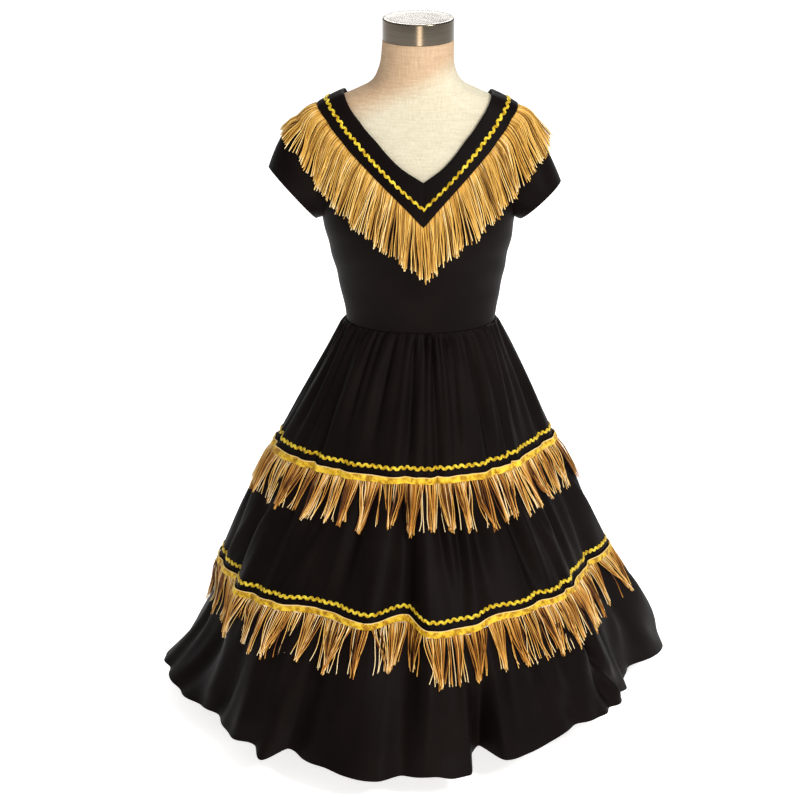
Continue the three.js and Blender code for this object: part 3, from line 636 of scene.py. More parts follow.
# Materials
class Look:
    """A material whose textures feed the colour, roughness and relief of its shader."""

    def __init__(self, name, **values):
        self.material = bpy.data.materials.new(name)
        self.material.use_nodes = True
        self.tree = self.material.node_tree
        self.shader = self.tree.nodes["Principled BSDF"]
        self.place = self.node("TexCoord", "Object")
        self.relief_below = {}
        self.fill(self.shader, values)

    def fill(self, node, values):
        """Sets a node's properties, and its sockets to numbers or to other nodes' outputs."""
        for name, value in values.items():
            if hasattr(node, name):
                setattr(node, name, value)
            else:
                self.feed(node.inputs[name.replace("_", " ")], value)

    def feed(self, socket, value):
        if isinstance(value, bpy.types.NodeSocket):
            self.tree.links.new(value, socket)
        else:
            socket.default_value = value

    def node(self, kind, output, **values):
        made = self.tree.nodes.new("ShaderNode" + kind)
        self.fill(made, values)
        return made.outputs[output]

    def noise(self, scale, detail, **values):
        return self.node("TexNoise", "Fac", **{"Vector": self.place, **values}, Scale=scale, Detail=detail)

    def wave(self, place, direction, scale, distortion, detail):
        return self.node("TexWave", "Fac", bands_direction=direction, Vector=place, Scale=scale,
                         Distortion=distortion, Detail=detail)

    def sums(self, operation, *values):
        made = self.tree.nodes.new("ShaderNodeMath")
        made.operation = operation
        for socket, value in zip(made.inputs, values):
            self.feed(socket, value)
        return made.outputs["Value"]

    def ramp(self, source, stops):
        colour = self.node("ValToRGB", "Color", Fac=source)
        elements = colour.node.color_ramp.elements
        while len(elements) < len(stops):
            elements.new(0.5)
        for element, (place, tone) in zip(elements, stops):
            element.position = place
            element.color = (*tone, 1)
        return colour

    def colour(self, source, stops):
        self.feed(self.shader.inputs["Base Color"], self.ramp(source, stops))

    def roughness(self, source, low, high):
        rough = self.node("MapRange", "Result", Value=source, To_Min=low, To_Max=high)
        self.feed(self.shader.inputs["Roughness"], rough)

    def relief(self, source, strength, distance):
        """Adds a layer of relief over those before it; distance is in metres."""
        bump = self.node("Bump", "Normal", Height=source, Strength=strength, Distance=distance,
                         **self.relief_below)
        self.relief_below = {"Normal": bump}
        self.feed(self.shader.inputs["Normal"], bump)


def cloth_material():
    """Matt black crepe: a fine pebbled weave, slightly uneven in tone, with a faint bloom."""
    look = Look("black_crepe", Specular_IOR_Level=0.035, Sheen_Weight=0.001, Sheen_Roughness=0.5,
                Sheen_Tint=(0.85, 0.85, 0.9, 1))
    look.colour(look.noise(9, 3), [(0.3, (0.0032, 0.0020, 0.0017)), (0.75, (0.0060, 0.0039, 0.0034))])
    pebble = look.noise(1500, 4, Roughness=0.6)
    look.roughness(pebble, 0.46, 0.6)
    look.relief(pebble, 0.5, 0.00025)
    look.relief(look.node("TexVoronoi", "Distance", Vector=look.place, Scale=1100), 0.35, 0.0002)
    return look.material


def thread_material():
    """Black sewing thread with a fine twist."""
    look = Look("black_thread", Roughness=0.6, Specular_IOR_Level=0.1)
    twist = look.noise(2500, 2)
    look.colour(twist, [(0.3, (0.005, 0.004, 0.003)), (0.7, (0.010, 0.008, 0.007))])
    look.relief(twist, 0.4, 0.0001)
    return look.material


def braid_material(name, stops, rough, metal, pitch, spot_scale):
    """Braid with some metal: slanted threads along the tape in uneven gold, with painted brown shade in the
    grooves between the threads.
    """
    look = Look(name, Metallic=metal, Specular_IOR_Level=0.2)
    place = look.node("UVMap", "UV", uv_map="along")
    thread = look.wave(place, "DIAGONAL", 1 / pitch, 1.5, 2)
    uneven = look.noise(spot_scale, 3)
    patches = look.node("MapRange", "Result", Value=uneven, From_Min=0.35, From_Max=0.65, To_Min=0.2,
                        To_Max=0.75)
    # Painted shade: the colour sinks to brown where the slanted thread texture, which also gives the relief,
    # is low
    look.colour(look.sums("MULTIPLY_ADD", thread, 0.45, patches), stops)
    look.roughness(uneven, rough - 0.08, rough + 0.12)
    look.relief(thread, 0.8, 0.0005)
    look.relief(look.wave(place, "Y", 1 / pitch, 1.0, 1), 0.5, 0.0003)
    return look.material


def yarn_material(name, stops):
    """Twisted satin yarn: every strand has its own tone, from brown to pale straw."""
    look = Look(name, Roughness=0.45, Specular_IOR_Level=0.15)
    tone = look.node("Attribute", "Fac", attribute_name="tone")
    place = look.node("UVMap", "UV", uv_map="along")
    look.colour(look.sums("MULTIPLY_ADD", look.noise(60, 2), 0.3, tone), stops)
    look.relief(look.wave(place, "DIAGONAL", 0.55, 0.6, 1), 0.6, 0.0004)
    return look.material


def linen_material():
    """Slubby linen: crossed uneven threads, cream on the body, with painted warm shade on the neck that
    reaches lower on its left side.
    """
    look = Look("cream_linen", Roughness=0.85, Specular_IOR_Level=0.12)
    streaks = []
    for scale in ((420, 420, 45), (45, 45, 420)):
        stretched = look.node("Mapping", "Vector", Vector=look.place, Scale=scale)
        streaks.append(look.noise(1, 3, Vector=stretched, Roughness=0.6))
    threads = look.sums("ADD", *streaks)
    half = look.sums("MULTIPLY", threads, 0.5)
    cream = look.ramp(half, [
        (0.34, (0.47, 0.42, 0.31)),
        (0.5, (0.53, 0.485, 0.365)),
        (0.66, (0.58, 0.545, 0.425)),
    ])
    # Painted shade: a darker, warmer copy of the cream, laid over the neck
    neck_painted_shade = look.ramp(half, [
        (0.34, (0.39, 0.26, 0.16)),
        (0.5, (0.45, 0.315, 0.20)),
        (0.66, (0.52, 0.385, 0.255)),
    ])
    # Where the painted shade lies: above a height that sinks towards -X, the side turned from the light
    x, z = (look.node("SeparateXYZ", axis, Vector=look.place) for axis in "XZ")
    slanted = look.sums("MULTIPLY_ADD", x, -0.5, z)
    painted_shade_mask = look.node("MapRange", "Result", Value=slanted, From_Min=1.062, From_Max=1.10)
    mixed = look.node("Mix", 2, data_type="RGBA", Factor=painted_shade_mask)
    look.feed(mixed.node.inputs[6], cream)
    look.feed(mixed.node.inputs[7], neck_painted_shade)
    look.feed(look.shader.inputs["Base Color"], mixed)
    look.relief(threads, 0.5, 0.0005)
    return look.material


def steel_material():
    """Brushed steel: fine lines round the piece, with faint smudges."""
    look = Look("brushed_steel", Metallic=1)
    stretched = look.node("Mapping", "Vector", Vector=look.place, Scale=(3, 3, 900))
    lines = look.noise(4, 5, Vector=stretched)
    # Painted reflection: the steel's colour is darkened and warmed so that its sides look as if they mirror
    # dim, warm surroundings
    look.colour(lines, [(0.3, (0.10, 0.082, 0.060)), (0.7, (0.165, 0.142, 0.112))])
    look.roughness(look.noise(30, 3), 0.14, 0.26)
    look.relief(lines, 0.12, 0.0001)
    return look.material


def paint_material():
    """Black powder coat: a fine grain, and wear that shows as a slightly lighter tone."""
    look = Look("black_powder_coat", Roughness=0.5)
    look.colour(look.noise(25, 4), [(0.35, (0.014, 0.013, 0.012)), (0.75, (0.030, 0.028, 0.026))])
    look.relief(look.noise(900, 2), 0.25, 0.0002)
    return look.material


# Form and stand
def disc(rim, height, rings):
    """Rings of points from a rim in to the axis at one height."""
    return lerp(rim, rim * 0 + np.array([0, 0, height]), np.linspace(0, 1, rings)[:, None, None])


def make_form():
    heights = np.concatenate([
        np.linspace(FORM_BOTTOM, FORM_EDGE, 5)[:-1],
        np.linspace(FORM_EDGE, FORM_CHEST, 40)[:-1],
        np.linspace(FORM_CHEST, FORM_TOP, 76),
    ])[:, None]
    turn = np.linspace(-math.pi, math.pi, 145)[None, :]
    normal = torso_normal(turn, heights)
    grid = torso(turn, heights) + normal * form_seams(turn, heights)[..., None]
    patches = [(grid, normal)]
    for rim, height, rings, up in ((grid[:1], FORM_BOTTOM, 9, -1.0), (grid[-1:], FORM_TOP, 4, 1.0)):
        end = disc(rim, height, rings)
        patches.append((end, np.broadcast_to(np.array([0, 0, up]), end.shape)))
    obj = build("form_body_linen", patches, LINEN, ["form_body"])
    weld(obj, 0.03)


def form_seams(turn, height):
    """Shallow grooves where the linen panels meet: centre, princess, side and neck seams."""
    groove = np.zeros(np.broadcast(turn, height).shape)
    for place in SEAM_TURNS:
        groove = groove - SEAM["depth"] * np.exp(-((turn - place) / SEAM["width"]) ** 2)
    above = height - (NECK_SEAM["height"] - NECK_SEAM["dip"] * np.cos(turn))
    neck = NECK_SEAM["depth"] * np.exp(-(above / NECK_SEAM["width"]) ** 2)
    return groove * smooth((FORM_TOP + 2 - height) / 30) - neck


def make_stand():
    turned("neck_cap_steel", [
        (0, FORM_TOP + 0.3), (CAP_RADIUS - 0.6, FORM_TOP + 0.3), (CAP_RADIUS, FORM_TOP + 0.9),
        (CAP_RADIUS, CAP_TOP - 2.5), (CAP_RADIUS - 0.2, CAP_TOP - 1.5), (CAP_RADIUS - 0.8, CAP_TOP - 0.7),
        (CAP_RADIUS - 1.7, CAP_TOP - 0.15), (CAP_RADIUS - 2.6, CAP_TOP), (CAP_RADIUS - 6, CAP_TOP - 0.1),
        (CAP_RADIUS - 20, CAP_TOP - 0.3), (0, CAP_TOP - 0.3),
    ], STEEL, ["neck_cap"], 160)
    turned("stand_base_plate", [
        (0, 0), (BASE_RADIUS - 1, 0), (BASE_RADIUS, 1), (BASE_RADIUS, BASE_HEIGHT - 3.5),
        (BASE_RADIUS - 0.9, BASE_HEIGHT - 1.2), (BASE_RADIUS - 3, BASE_HEIGHT - 0.1),
        (BASE_RADIUS - 30, BASE_HEIGHT), (0, BASE_HEIGHT),
    ], PAINT, ["stand_base"], 160)
    turned("stand_pole_tube", [
        (0, BASE_HEIGHT + 0.3), (POLE_RADIUS - 0.5, BASE_HEIGHT + 0.3), (POLE_RADIUS, BASE_HEIGHT + 0.8),
        (POLE_RADIUS, POLE_TOP - 1), (POLE_RADIUS - 1, POLE_TOP), (0, POLE_TOP),
    ], STEEL, ["stand_pole"], 64)


# Bodice: its small folds, with their depth, pitch, height and reach above and below that
DRAG = {"depth": 0.9, "pitch": 9.5, "height": 800, "reach": 60}
FULLNESS = {"depth": 0.8, "pitch": 8.5, "height": WAIST, "reach": 34}


def fold_depth(fold, z):
    return fold["depth"] * np.exp(-((z - fold["height"]) / fold["reach"]) ** 2)


def bodice_folds(point, normal):
    """Soft creases at the sides of the bust and a little fullness above the waist."""
    x, z = point[..., 0], point[..., 2]
    drag = fold_depth(DRAG, z) * np.sin((z + 0.5 * np.abs(x)) / DRAG["pitch"] + np.sign(x))
    drag = drag * smooth((np.abs(x) / 140 - 0.62) / 0.3)
    waist = fold_depth(FULLNESS, z) * np.sin(x / FULLNESS["pitch"] + 1.5 * np.sin(x / 31))
    waist = waist * smooth((z - WAIST - 2) / 14)
    return point + normal * (drag + waist)[..., None]


def bodice_patches(face):
    patches = []
    for side in (-1, 1):
        row = np.linspace(0, YOKE_ROWS, YOKE_STEPS + 1)[:, None]
        across = np.concatenate([np.linspace(0, 1, 11), np.linspace(1, 2, 37)[1:]])[None, :]
        patches.append(yoke_site(face, side, row, across))
        share = np.linspace(0, 1, 37)[None, :]
        down = np.linspace(0, 1, 49)[:, None]
        top_turn, top_height = yoke(face, side, 0.0, 1 + share)
        turn = lerp(top_turn, side * QUARTER * share, down)
        patches.append(cloth_site(face, turn, lerp(top_height, WAIST, down)))
    return [(bodice_folds(point, normal), normal) for point, normal in patches]


def make_bodice():
    made = {}
    for name, face, flat, area in (("front", FRONT, (0.48, 0.44), 0.13), ("back", BACK, (0.46, 0.42), 0.13)):
        patches = bodice_patches(face)
        obj = build(f"bodice_{name}_cloth", patches, CREPE, [f"bodice_{name}"])
        thicken(obj, CLOTH)
        made[name] = patches
    return made


# Sleeves
def sleeve_surface(shape, t, k):
    """t runs from the armhole to the hem; k from the underarm by the front round to it again."""
    side = shape["side"]
    row = np.where(k <= YOKE_ROWS, k, 2 * YOKE_ROWS - k)
    front, front_normal = yoke_site(FRONT, side, row, 2.0)
    back, back_normal = yoke_site(BACK, side, row, 2.0)
    forward = ((k > 0) & (k < YOKE_ROWS))[..., None]
    normal = np.where(forward, front_normal, back_normal)
    start = np.where(forward, front, back) + normal * 0.8
    angle = k / YOKE_ROWS * math.pi
    rise = (1 - np.cos(angle)) / 2
    swing = np.sin(angle)
    sag = np.where(swing > 0, shape["lift"], shape["sag"]) * swing
    hem = stack(
        side * lerp(SLEEVE_LOW[0], shape["reach"], rise),
        SLEEVE_CENTRE - swing * SLEEVE_HALF_DEPTH,
        lerp(SLEEVE_LOW[1], shape["height"], rise) + sag,
    )
    control = (start + hem) / 2
    control[..., 2] += shape["crown"] * rise
    control[..., 1] -= swing * SLEEVE_HALF_DEPTH * 0.12
    point = lerp(lerp(start, control, t[..., None]), lerp(control, hem, t[..., None]), t[..., None])
    fold = 0.8 * np.sin(7 * angle + 2) * np.sin(math.pi * t) * (1 - rise)
    point[..., 1] += fold
    return point


def make_sleeves():
    made = []
    for name, shape in SLEEVES.items():
        k = np.linspace(0, 2 * YOKE_ROWS, SLEEVE_COLUMNS)[None, :]
        t, k = np.broadcast_arrays(np.linspace(0, 1, SLEEVE_ROWS)[:, None], k)
        grid = sleeve_surface(shape, t, k)
        middle = np.stack([grid.mean(axis=1)] * grid.shape[1], axis=1)
        facing = unit(grid - middle)
        obj = build(f"sleeve_{name}_cloth", [(grid, facing)], CREPE, [f"sleeve_{name}"])
        thicken(obj, CLOTH)
        made.append((grid, facing))
        hem = sleeve_surface(shape, np.full((1, SLEEVE_COLUMNS), SLEEVE_STITCH_PLACE), k[:1])[0]
        out = facing[-3]
        stitches(f"sleeve_{name}_stitching", hem + out * (CLOTH + 0.15), out)
    return made


def stitches(name, line, normals, pitch=3.6, length=2.5, width=0.55):
    """A row of short raised stitches along a line, each a low pyramid."""
    points, _ = resample(line, pitch)
    normal = unit(evenly(line, normals, len(points)))
    along = unit(np.gradient(points, axis=0))
    across = unit(np.cross(normal, along))
    corners = np.stack([
        points - along * length / 2,
        points + across * width / 2,
        points + along * length / 2,
        points - across * width / 2,
        points + normal * 0.3,
    ], axis=1)
    index = np.arange(len(points) * 5).reshape(-1, 5)
    faces = [index[:, [a, b, 4]] for a, b in ((1, 0), (2, 1), (3, 2), (0, 3))]
    piece(name, corners.reshape(-1, 3), faces, THREAD, sharp=80)


# Neckband
def band_profile(across):
    """Height of the band's outer face over the bodice: rounded edges and a slight crown."""
    edge = np.clip(np.minimum(across, 1 - across) / BAND_EDGE, 0, 1)
    return BAND_LIFT + BAND_WALL * (0.25 + 0.75 * np.sqrt(edge * (2 - edge)))


def make_neckbands():
    bands = {}
    for name, face in (("front", FRONT), ("back", BACK)):
        patches = []
        for side in (-1, 1):
            row = np.linspace(0, YOKE_ROWS, 73)[:, None]
            edge = np.array([0, 0.012, 0.03, BAND_EDGE])
            across = np.concatenate([edge, np.linspace(0.15, 0.85, 8), 1 - edge[::-1]])[None, :]
            point, normal = yoke_site(face, side, row, across)
            mitre = 0.5 * np.exp(-(row / 0.12) ** 2)
            patches.append((point + normal * (band_profile(across) - mitre - BAND_CLOTH)[..., None], normal))
        obj = build(f"neckband_{name}_cloth", patches, CREPE, [f"neckband_{name}"])
        thicken(obj, BAND_CLOTH)
        bands[name] = obj
    for name, place in (("inner", 0.06), ("outer", 0.93)):
        line, normal = neck_line(place, 60)
        lifted = line + normal * (band_profile(np.array([place])) + STITCH_LIFT)
        stitches(f"neckband_{name}_stitching", lifted, normal, pitch=3.2, length=2.2, width=0.5)
    return bands


def neck_line(across, count):
    """The closed line round the neck at one place across the band, with its normals."""
    end = YOKE_ROWS
    runs = [(FRONT, 1, 0, end), (BACK, 1, end, 0), (BACK, -1, 0, end), (FRONT, -1, end, 0)]
    points, normals = [], []
    for face, side, first, last in runs:
        row = np.linspace(first, last, count)
        point, normal = yoke_site(face, side, row, np.full(count, across))
        points.append(point[:-1])
        normals.append(normal[:-1])
    points, normals = np.concatenate(points), np.concatenate(normals)
    return np.vstack([points, points[:1]]), np.vstack([normals, normals[:1]])


# Braids
def tape(name, rings, at, rows, normal, look, replaces=()):
    """A braid from lines side by side, with its length and rows as texture coordinates."""
    grid = np.stack(rings)
    facing = np.broadcast_to(normal, grid.shape)
    uv = np.stack(np.broadcast_arrays(at[None, :], rows[:, None]), axis=-1)
    return build(name, [(grid, facing)], look, replaces, uv, 70)


def zigzag(name, line, normals, down, lift, replaces):
    """Wavy braid that swings about a closed line, with a raised bead along each edge."""
    points, at = resample(line, TAPE_PITCH / 10)
    waves = round(at[-1] / TAPE_PITCH)
    normal = unit(evenly(line, normals, len(at)))
    falling = unit(evenly(line, down, len(at)))
    phase = 2 * math.pi * waves * at / at[-1]
    width = TAPE_WIDTH * (0.85 + 0.15 * np.cos(2 * phase))
    bead = 1 + 0.3 * np.cos(2 * phase)
    section = [
        (-0.5, 0.0), (-0.47, 0.6), (-0.3, 1.2), (-0.08, 1.0),
        (0.08, 1.0), (0.3, 1.2), (0.47, 0.6), (0.5, 0.0),
    ]
    rings = []
    for across, high in section:
        offset = TAPE_SWING * np.sin(phase) + across * width
        rings.append(points + falling * offset[:, None] + normal * (lift + high * bead)[:, None])
    return tape(name, rings, at, np.arange(len(rings)), normal, RICRAC, replaces)


def braid(name, upper, lower, normals, lift, lines=11):
    """Flat gimp braid between two lines, raised in three plaited ridges."""
    top, at = resample(upper, GIMP_STEP)
    low = evenly(lower, lower, len(at))
    normal = unit(evenly(upper, normals, len(at)))
    rings = []
    for place in np.linspace(0, 1, lines):
        ridge = np.sin(3 * math.pi * place) ** 2
        slant = np.sin(2 * math.pi * at / GIMP_PLAIT + 2.2 * math.cos(3 * math.pi * place))
        rounded = math.sqrt(max(0.0, 1 - (2 * place - 1) ** 6))
        high = lift + rounded * (0.9 + 0.55 * ridge * (1 + 0.5 * slant))
        wander = 0.35 * slant * (1 if place in (0.0, 1.0) else 0.3)
        rings.append(lerp(top, low, place) + normal * high[:, None] + unit(low - top) * wander[:, None])
    return tape(name, rings, at, np.linspace(0, 12, lines), normal, GIMP)


# Neck fringe, by the row of the yoke: how far a strand leans outwards and drifts backwards as
# it falls, how far it puffs out, and how much it first swings out from the band's edge
FALL = table(["row", "lean", "front", "back", "puff", "swing"], [
    [0, 0, 0, 0, 0, 0],
    [0.7, 0.03, 0, 0, 0, 0.3],
    [1.5, 0.12, 0, 0, 0, 0.8],
    [3, 0.27, 0, 0, 0.5, 1],
    [6, 0.34, 0, 0, 2, 1],
    [7.5, 0.40, -0.1, 0.2, 4, 1],
    [8.4, 0.72, 0.05, 0.2, 4, 1],
    [9, 1.0, 0.2, 0.2, 4, 1],
])

# Change of tone along a strand; the neck strands' darker roots are painted shadow under the band
NECK_ROOT_SHADE_FADE = table(["share", "change"], [[0, -0.1], [0.15, 0.04], [0.5, 0], [0.9, 0.06], [1, 0.3]])
CORD_FADE = table(["share", "change"], [[0, 0], [1, 0]])
ROW_FADE = table(["share", "change"], [[0, 0.18], [0.14, 0.06], [0.45, -0.1], [0.8, 0.05], [1, 0.25]])


# Over the shoulder strands turn outwards, are shorter and are sewn closer together: the row
# where each change begins, the rows that it takes, and its amount
TURN_OUT = (7.2, 1.8, 1)
SHORTEN = (7.6, 1.2, 0.16)
CROWD = (7, 1.2, 0.7)

# Layers that neighbouring strands lie in, and the step between them
LAYERS = 3
LAYER_STEP = 1.5


def onset(row, change):
    start, span, amount = change
    return amount * smooth((row - start) / span)


def carriers_tree(patches, lift):
    """The surfaces that strands lie on, to be asked for their nearest points."""
    vertices, faces = [], []
    for grid, facing in patches:
        faces.extend(map(tuple, grid_faces(grid, facing, len(vertices)).tolist()))
        vertices.extend(map(tuple, (grid + facing * lift).reshape(-1, 3)))
    return BVHTree.FromPolygons(vertices, faces)


def neck_strand(tree, face, side, row, clearance, length, sway):
    """Walks one strand from under the band down over the bodice and sleeve."""
    step = length / (NECK_STATIONS - 1) * (1 - onset(row, SHORTEN))
    at = row / YOKE_ROWS * YOKE_STEPS
    above = math.floor(at)
    rows = np.array([[above], [above + 1]]) * YOKE_ROWS / YOKE_STEPS
    ends, normals = yoke_site(face, side, rows, np.array([[0.9, 1.0]]))
    root, edge = lerp(*ends, at - above)
    normal = unit(lerp(*normals, at - above))[0]
    outward = unit(lerp(unit(edge - root), np.array([side, 0.15, 0.0]), onset(row, TURN_OUT)))
    columns = ("lean", "back" if face["back"] else "front", "puff", "swing")
    lean, drift, puff, swing = (float(read(FALL, name, row)) for name in columns)
    pull = unit(np.array([side * lean + sway, drift, -1.0]))
    first = unit(lerp(pull, outward, swing) + normal * 0.15)
    point = lerp(root, edge, 0.6) + normal * (CLOTH + 1.2)
    path = [point]
    for share in np.arange(1, NECK_STATIONS) / (NECK_STATIONS - 1):
        heading = unit(lerp(first, pull, float(smooth(share / 0.28))))
        point = point + heading * step
        location, face_normal, _, _ = tree.find_nearest(Vector(point))
        location, face_normal = np.array(location), np.array(face_normal)
        off = float(np.dot(point - location, face_normal))
        arch = puff * math.sin(math.pi * min(1, share * 1.1))
        rise = clearance * float(smooth(share / 0.25)) + 1.0 + arch
        if off < rise:
            point = point + face_normal * (rise - off) * 0.85
        path.append(point)
    path = np.array(path)
    share = np.linspace(0, 1, NECK_STATIONS)
    wave = random.uniform(0.2, 1.3) * np.sin(math.pi * (random.uniform(1, 3) * share + random.uniform(0, 2)))
    aside = unit(np.cross(np.gradient(path, axis=0), normal))
    return path + aside * (wave * smooth(share / 0.4))[:, None]


def make_neck_fringe(patches):
    tree = carriers_tree(patches, CLOTH)
    paths, tones = [], []
    for face, side, spacing in ((FRONT, 1, 1.2), (FRONT, -1, 1.2), (BACK, 1, 1.4), (BACK, -1, 1.4)):
        row = np.linspace(0, YOKE_ROWS, YOKE_STEPS + 1)
        line, _ = yoke_site(face, side, row, 1.0)
        steps = np.linalg.norm(np.diff(line, axis=0), axis=1) * (1 + onset(row[1:], CROWD))
        lengths = np.concatenate([[0], np.cumsum(steps)])
        count = int(lengths[-1] / spacing)
        for k in range(count):
            at = (k + 0.5 + random.uniform(-0.3, 0.3)) / count * lengths[-1]
            place = float(np.interp(at, lengths, row))
            clump = 0.07 * math.sin(at / 6.5) + 0.05 * math.sin(at / 2.7 + 1) + random.normal(0, 0.012)
            clearance = 0.6 + LAYER_STEP * (k % LAYERS) + random.uniform(0, 0.7)
            length = NECK_FRINGE_LENGTH * random.uniform(0.94, 1.03)
            paths.append(neck_strand(tree, face, side, place, clearance, length, clump))
            # Painted shade: about one strand in six is a near-black brown, standing for the shaded gaps
            # between strands
            shaded_gap_strand = random.uniform() < 0.17
            tones.append(random.uniform(0.0, 0.14) if shaded_gap_strand else np.clip(random.normal(0.5, 0.14), 0.1, 0.85))
    return tubes("neck_fringe_strands", np.array(paths), **NECK_STRAND, material=NECK_YARN, slot="fringe",
                 tones=np.array(tones), fade=NECK_ROOT_SHADE_FADE, replaces=["neck_fringe"])


# Skirt
def make_tier(tier):
    u = np.linspace(0, 1, TIER_COLUMNS[tier])[None, :]
    drop = tier + np.linspace(0, 1, TIER_ROWS)[:, None]
    grid, normal = skirt_site(u, drop, tier)
    if tier:
        hold = 1 - smooth((drop - tier) / 0.02)
        grid = grid - normal * (0.2 * hold)[..., None]
    obj = build(f"skirt_tier_{tier + 1}_cloth", [(grid, normal)], CREPE, [f"skirt_tier_{tier + 1}"])
    thicken(obj, CLOTH)
    return obj


def row_line(tier, place, count=900):
    """A line round a tier, with its normals and its directions down the cloth."""
    u = np.linspace(0, 1, count + 1)
    drop = np.full(count + 1, tier + place)
    point, normal = skirt_site(u, drop, tier)
    down = unit(skirt(u, drop + 0.02, tier) - skirt(u, drop - 0.02, tier))
    return point, normal, down


def surface_paths(tier, girth, u_root, u_tip, lengths, curl, lifts, waves, flicks):
    """Strand paths that lie on the tier below, from the header down."""
    share = np.linspace(0, 1, ROW_STATIONS)
    fine = np.linspace(0, 0.62, 48)
    down = np.minimum(fine / 0.4, 1)[None, :]
    draw = lerp(smooth(down), down ** 0.8, curl[:, None])
    sway = waves[:, None] * np.sin(math.pi * (2.2 * down + 9 * curl[:, None])) * smooth(down)
    sway = sway + flicks[:, None] * down ** 3
    u = lerp(u_root[:, None], u_tip[:, None], draw) + sway / girth
    seam = tier + 1.0
    drop = np.broadcast_to(tier + ROW_ROOT + fine, u.shape)
    under = skirt(u, np.maximum(drop, seam), tier + 1, False)
    over = skirt(u, np.minimum(drop, seam), tier, False)
    points = np.where((drop > seam)[..., None], under, over)
    normal = skirt_normal(u, drop, tier + 1, False)
    run = run_along(points)
    paths = np.zeros((len(u_root), ROW_STATIONS, 3))
    for k in range(len(u_root)):
        at = share * lengths[k]
        rise = ROOT_LIFT + (lifts[k] - ROOT_LIFT) * smooth(share / 0.35)
        for axis in range(3):
            spot = np.interp(at, run[k], points[k, :, axis])
            lean = np.interp(at, run[k], normal[k, :, axis])
            paths[k, :, axis] = spot + lean * rise
    return paths


def make_row_fringe(tier, locks, per_lock):
    """Strands drawn together in uneven locks, with single strands between them."""
    point, _, _ = row_line(tier, 1.0)
    girth = run_along(point)[-1]
    edges = np.arange(locks) / locks + random.uniform(-0.3, 0.3, locks) / locks
    edges = np.append(edges, edges[0] + 1)
    u_root, u_tip, lengths, curl, lifts, waves, flicks, tones = [], [], [], [], [], [], [], []
    for k in range(locks):
        low, high = edges[k], edges[k + 1]
        middle = (low + high) / 2 + random.normal(0, 0.12) / locks
        pinch = random.uniform(0.75, 1.1)
        base = random.uniform(0.92, 1.05)
        point_in = random.uniform(0.04, 0.2)
        shade = random.normal(0, 0.07)
        flick = random.normal(0, 3)
        strands = int(per_lock * (high - low) * locks * random.uniform(0.75, 1.15))
        for j in range(strands):
            root = lerp(low, high, (j + random.uniform(0, 1)) / strands)
            stray = random.uniform() < 0.2
            draw = pinch * (random.uniform(-0.1, 0.3) if stray else random.uniform(0.85, 1.08))
            off = abs(2 * (root - middle) / (high - low))
            u_root.append(root)
            u_tip.append(lerp(root, middle, draw) + random.normal(0, 0.5) / girth)
            shorter = 0.95 if stray else 1 - point_in * min(off, 1) ** 1.5
            lengths.append(ROW_FRINGE_LENGTH * (base * random.uniform(0.94, 1.03) * shorter))
            curl.append(random.uniform(0.1, 0.6))
            lifts.append(random.uniform(2.6, 6.8))
            waves.append(random.uniform(0.3, 3.2 if stray else 2.0))
            flicks.append(flick + random.normal(0, 3 if stray else 1.2))
            # Painted shade and highlight: row strands start from a lower tone than the neck's, and stray
            # strands are lifted by a painted highlight
            tone = 0.33 + shade + (0.28 if stray else 0)
            tones.append(np.clip(random.normal(tone, 0.26), 0.0, 0.9))
    plans = (u_root, u_tip, lengths, curl, lifts, waves, flicks)
    paths = surface_paths(tier, girth, *map(np.array, plans))
    name = f"row_{tier + 1}_fringe"
    return tubes(f"{name}_strands", paths, **ROW_STRAND, material=SHADED_ROW_YARN, slot="fringe",
                 tones=np.array(tones), fade=ROW_FADE, replaces=[name])


def make_row(tier, locks, per_lock):
    """The trims above a tier's lower seam: wavy braid, flat braid with its cord, and fringe."""
    point, normal, down = row_line(tier, ROW_TAPE_PLACE)
    name = f"row_{tier + 1}"
    wavy = zigzag(f"{name}_ricrac_tape", point, normal, down, CLOTH + TAPE_LIFT, [f"{name}_ricrac"])
    upper, normals, _ = row_line(tier, ROW_HEADER[0])
    lower, _, _ = row_line(tier, ROW_HEADER[1])
    header = braid(f"{name}_header", upper, lower, normals, CLOTH + HEADER_LIFT)
    cord = tubes(f"{name}_header_cord", (upper + normals * (CLOTH + CORD_LIFT))[None], **HEADER_CORD,
                 material=NECK_YARN, slot="tape", tones=np.array([0.75]), fade=CORD_FADE)
    return [wavy, header, cord, make_row_fringe(tier, locks, per_lock)]


# Light, floor and camera, in metres, watts and degrees
WORLD_STRENGTH = 0.38
LAMP_AIM = (0, 0, 0.75)
CAMERA_PLACE = (-0.034, -4.5, 2.137)
CAMERA_DIP = 19.54
CAMERA_LENS = 129.54

# Name, place, width, height, power and colour of each lamp
LAMPS = [
    ("key", (2.2, -2.6, 2.9), 1.0, 1.0, 118, (1, 1, 1)),
    ("strip", (0.18, -2.6, 0.75), 0.58, 1.1, 17, (1, 0.84, 0.66)),
    ("top", (0.3, -0.2, 3.4), 1.6, 1.6, 30, (1, 1, 1)),
    ("back", (0.2, 3.4, 2.5), 1.6, 0.7, 40, (1, 1, 1)),
]


def make_studio():
    world = bpy.data.worlds.new("studio")
    bpy.context.scene.world = world
    world.use_nodes = True
    background = world.node_tree.nodes["Background"]
    background.inputs["Color"].default_value = (1, 1, 1, 1)
    background.inputs["Strength"].default_value = WORLD_STRENGTH
    for name, place, width, height, power, colour in LAMPS:
        light = bpy.data.lights.new(name, "AREA")
        light.shape = "RECTANGLE"
        light.size = width
        light.size_y = height
        light.energy = power
        light.color = colour
        lamp = add(name, light)
        lamp.visible_camera = False
        lamp.location = place
        aim = Vector(LAMP_AIM) - Vector(place)
        lamp.rotation_euler = aim.to_track_quat("-Z", "Y").to_euler()
    bpy.context.scene.view_settings.view_transform = "Standard"
    bpy.context.scene.view_settings.look = "None"


